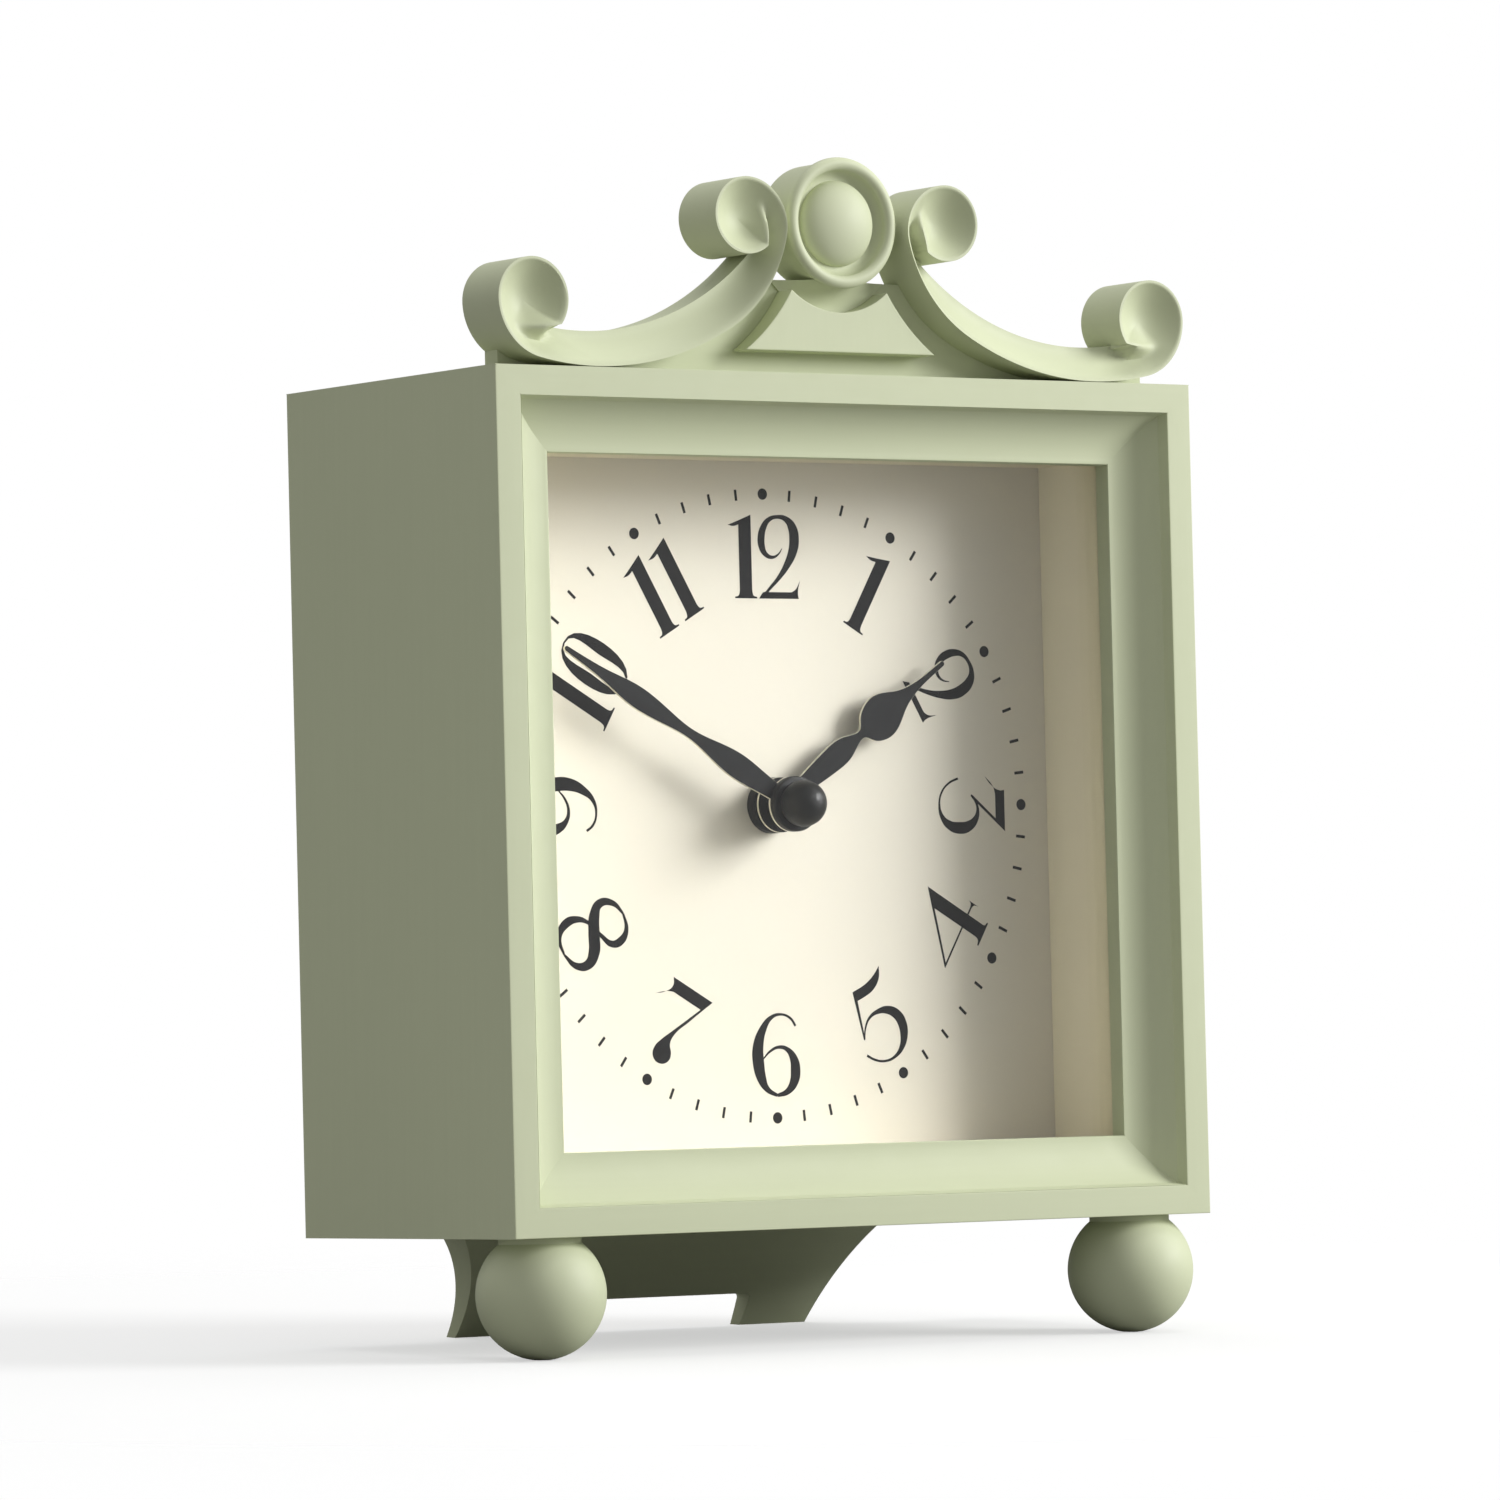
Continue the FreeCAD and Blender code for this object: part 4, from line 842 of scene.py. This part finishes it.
# %% From strokes to a mesh
def pen_outline(points):
    """Both sides of a pen line, as (x, y, kind), with square ends."""
    sides = ([], [])
    for index, (x, y, half) in enumerate(points):
        before = points[max(index - 1, 0)]
        after = points[min(index + 1, len(points) - 1)]
        way = Vector((after[0] - before[0], after[1] - before[1])).normalized()
        kind = "c" if index in (0, len(points) - 1) else "s"
        sides[0].append((x - way.y * half, y + way.x * half, kind))
        sides[1].append((x + way.y * half, y - way.x * half, kind))
    return sides[0] + sides[1][::-1]


def closed_spline(curve, points):
    """A closed line through (x, y, kind) points, kind being "c" for a corner or "s" for smooth."""
    spline = curve.splines.new("BEZIER")
    spline.bezier_points.add(len(points) - 1)
    for knot, (x, y, kind) in zip(spline.bezier_points, points):
        knot.co = (x, y, 0)
        knot.handle_left_type = knot.handle_right_type = "VECTOR" if kind == "c" else "AUTO"
    spline.use_cyclic_u = True
    spline.resolution_u = 6


def stroke_mesh(kind, points, shift):
    """One stroke as a filled flat mesh, moved sideways by shift."""
    curve = bpy.data.curves.new("stroke", "CURVE")
    curve.dimensions = "2D"
    curve.fill_mode = "BOTH"
    if kind == "ring":
        for across, up in points:
            closed_spline(curve, [(across, RING_MID, "s"), (0, RING_MID + up, "s"),
                                  (-across, RING_MID, "s"), (0, RING_MID - up, "s")])
    else:
        closed_spline(curve, pen_outline(points) if kind == "pen" else points)
    holder = bpy.data.objects.new("stroke", curve)
    bpy.context.scene.collection.objects.link(holder)
    bpy.context.view_layer.update()
    shown = holder.evaluated_get(bpy.context.evaluated_depsgraph_get())
    mesh = bpy.data.meshes.new_from_object(shown)
    mesh.transform(Matrix.Translation((shift, 0, 0)))
    bpy.data.objects.remove(holder)
    bpy.data.curves.remove(curve)
    return mesh


# %% Numerals, dots and minute marks
NUMERAL_H = 15.0
NUMERAL_R = 44.6                       # from the middle of the dial to the middle of a numeral
TRACK_R = 55.8
DOT_R = 1.025                          # a dot at every hour
MARK_W, MARK_L = 0.54, 2.0             # and a short bar at every other minute
PRINT_T = 0.02                         # thickness of the printed layer
dial_front = case_box("dial_face")[0].y
FLAT_TO_DIAL = Matrix.Translation((0, dial_front, axis_z)) @ Matrix.Rotation(math.pi / 2, 4, "X")


def numeral(word):
    """Strokes of one numeral, side by side, middle at the origin, in millimetres."""
    bm = bmesh.new()
    for place, digit in enumerate(word):
        for kind, points in GLYPHS[digit]:
            bm.from_mesh(stroke_mesh(kind, points, place * SPACING.get(word, 0)))
    middle = [(min(v.co[i] for v in bm.verts) + max(v.co[i] for v in bm.verts)) / 2 for i in (0, 1)]
    bmesh.ops.translate(bm, vec=(-middle[0], -middle[1], 0), verts=bm.verts)
    bmesh.ops.scale(bm, vec=Vector((1, 1, 1)) * NUMERAL_H / 100, verts=bm.verts)
    return bm


print_bm = bmesh.new()
for hour in range(1, 13):
    angle = math.radians(30 * hour)
    bm = numeral(str(hour))
    turned_by = angle - math.pi if 4 <= hour <= 8 else angle       # so that none is upside down
    place = Matrix.Translation((NUMERAL_R * math.sin(angle), NUMERAL_R * math.cos(angle), PRINT_T))
    bmesh.ops.transform(bm, matrix=FLAT_TO_DIAL @ place @ Matrix.Rotation(-turned_by, 4, "Z"),
                        verts=bm.verts)
    holder = bpy.data.meshes.new("numeral")
    bm.to_mesh(holder)
    bm.free()
    print_bm.from_mesh(holder)
    bpy.data.meshes.remove(holder)
bmesh.ops.recalc_face_normals(print_bm, faces=print_bm.faces)
wrong_way = [f for f in print_bm.faces if f.normal.y > 0]
bmesh.ops.reverse_faces(print_bm, faces=wrong_way)
print("numerals:", len(print_bm.faces), "faces")
to_object(print_bm, "dial_numerals", ink)

bm = bmesh.new()
for minute in range(60):
    angle = math.radians(6 * minute)
    place = FLAT_TO_DIAL @ Matrix.Rotation(-angle, 4, "Z") @ Matrix.Translation((0, TRACK_R, PRINT_T / 2))
    if minute % 5 == 0:
        bmesh.ops.create_cone(bm, cap_ends=True, segments=28, radius1=DOT_R, radius2=DOT_R,
                              depth=PRINT_T, matrix=place)
    else:
        bmesh.ops.create_cube(bm, size=1, matrix=place @ Matrix.Diagonal((MARK_W, MARK_L, PRINT_T, 1)))
bmesh.ops.recalc_face_normals(bm, faces=bm.faces)
to_object(bm, "minute_track", ink)

# %% [markdown]
# ## The back and the works
# Behind are the fibreboard panel and a bought movement in moulded plastic.  The pieces that are seen
# there get softened corners like the woodwork.  The rest keeps its CAD mesh and only takes a finish.

# %% Softened pieces at the back
KNOB_EDGE = 0.15
for node, name, paint, slot, width in (("back_panel", "rear_panel", fibre, "fibreboard", 0.25),
                                       ("movement_case", "clockwork_shell", plastic, "black_plastic", 0.2),
                                       ("bush_nut", "dial_nut", gloss_black, "black_lacquer", 0.08)):
    to_object(soften(merged_copy(node), width, angle=35), name, paint, stands_for=[node])
bm = soften(merged_copy("set_knob"), KNOB_EDGE, angle=50)
to_object(bm, "setting_knob", plastic, "setting_wheel", ["set_knob"])

# %% Finishes for the CAD pieces that stay
CAD_FINISH = {
    "glass_pane": glass, "dial_face": dial_card, "dial_board": fibre, "corner_blocks": fibre,
    "foot_dowels": beech, "stand_pegs": beech, "crest_pegs": beech, "back_screws": steel,
    "contact_positive": steel, "contact_negative": steel, "coil_core": steel, "movement_cover": plastic,
    "train_plate": acetal, "hour_wheel": acetal, "motion_wheel": acetal, "bushing": brass,
    "minute_arbor": brass, "rubber_washer": rubber, "battery": wrap, "drive_coil": copper,
    "circuit_board": circuit,
}
for node, material in CAD_FINISH.items():
    slots = frame["nodes"][node].data.materials
    if len(slots):
        slots[0] = material
    else:
        slots.append(material)
print(len(CAD_FINISH), "CAD pieces keep their own mesh")

# %% [markdown]
# ## Stage and light
# One soft key stands at the right, above and in front, a weaker lamp hangs overhead, and a pale room
# fills the rest, so the left side of the case falls into shade.  The floor is a single pale sheet
# under the feet.  It fades into the white round it, but a shadow still shows on it near the clock.

# %% Floor
FLOOR_HALF = 6.0                       # metres
FADE_NEAR, FADE_FAR = 0.16, 0.42       # metres from the middle, over which the sheet fades away
NEAR_FADE = 0.55                       # how much of it is gone already at the middle
DULL = (0.3, 0.3, 0.29, 1)             # what the clock gets back from the floor
WHITE = (1, 1, 1, 1)


def to_camera_only(tree, shown, otherwise, output):
    """Connect one shader for the camera's own rays and another for all other rays."""
    seen = tree.nodes.new("ShaderNodeLightPath")
    choose = tree.nodes.new("ShaderNodeMixShader")
    tree.links.new(seen.outputs["Is Camera Ray"], choose.inputs[0])
    tree.links.new(otherwise.outputs[0], choose.inputs[1])
    tree.links.new(shown.outputs[0], choose.inputs[2])
    tree.links.new(choose.outputs[0], output.inputs["Surface"])


def stage_floor():
    bm = bmesh.new()
    bmesh.ops.create_grid(bm, x_segments=1, y_segments=1, size=FLOOR_HALF)
    mesh = bpy.data.meshes.new("floor")
    bm.to_mesh(mesh)
    bm.free()
    material = bpy.data.materials.new("pale_floor")
    material.use_nodes = True
    tree = material.node_tree
    shader = tree.nodes["Principled BSDF"]
    shader.inputs["Base Color"].default_value = WHITE
    shader.inputs["Roughness"].default_value = 0.6
    shader.inputs["Specular IOR Level"].default_value = 0.2
    where = tree.nodes.new("ShaderNodeTexCoord")
    distance = tree.nodes.new("ShaderNodeVectorMath")
    distance.operation = "LENGTH"
    tree.links.new(where.outputs["Object"], distance.inputs[0])
    fade = tree.nodes.new("ShaderNodeMapRange")
    fade.interpolation_type = "SMOOTHSTEP"
    fade.inputs["From Min"].default_value = FADE_NEAR
    fade.inputs["From Max"].default_value = FADE_FAR
    fade.inputs["To Min"].default_value = NEAR_FADE
    tree.links.new(distance.outputs["Value"], fade.inputs["Value"])
    nothing = tree.nodes.new("ShaderNodeBsdfTransparent")
    blend = tree.nodes.new("ShaderNodeMixShader")
    tree.links.new(fade.outputs["Result"], blend.inputs[0])
    tree.links.new(shader.outputs[0], blend.inputs[1])
    tree.links.new(nothing.outputs[0], blend.inputs[2])
    dull = tree.nodes.new("ShaderNodeBsdfDiffuse")
    dull.inputs["Color"].default_value = DULL
    to_camera_only(tree, blend, dull, tree.nodes["Material Output"])
    mesh.materials.append(material)
    floor = bpy.data.objects.new("floor", mesh)
    bpy.context.scene.collection.objects.link(floor)


stage_floor()

# %% Room
ROOM_STRENGTH = 0.44                   # of the light that the room gives; the camera sees plain white
world = bpy.data.worlds.new("room")
bpy.context.scene.world = world
world.use_nodes = True
room = world.node_tree
room_light = room.nodes["Background"]
room_light.inputs["Color"].default_value = WHITE
room_light.inputs["Strength"].default_value = ROOM_STRENGTH
white = add(room, "ShaderNodeBackground", Color=WHITE, Strength=1.0)
to_camera_only(room, white, room_light, room.nodes["World Output"])


# %% Lamps
def soft_lamp(name, place, target, size, power):
    """Square lamp turned to its target; places and size in metres, power in watts."""
    data = bpy.data.lights.new(name, "AREA")
    data.shape = "RECTANGLE"
    data.size = data.size_y = size
    data.energy = power
    lamp = bpy.data.objects.new(name, data)
    lamp.location = place
    lamp.rotation_mode = "QUATERNION"
    lamp.rotation_quaternion = (Vector(target) - Vector(place)).to_track_quat("-Z", "Y")
    bpy.context.scene.collection.objects.link(lamp)


soft_lamp("key", (1.3, -1.0, 0.72), (0, 0, 0.09), 0.75, 31)
soft_lamp("top", (0.1, 0.2, 1.6), (0, 0, 0), 1.2, 9)
print("floor, room and", len(bpy.data.lights), "lamps")
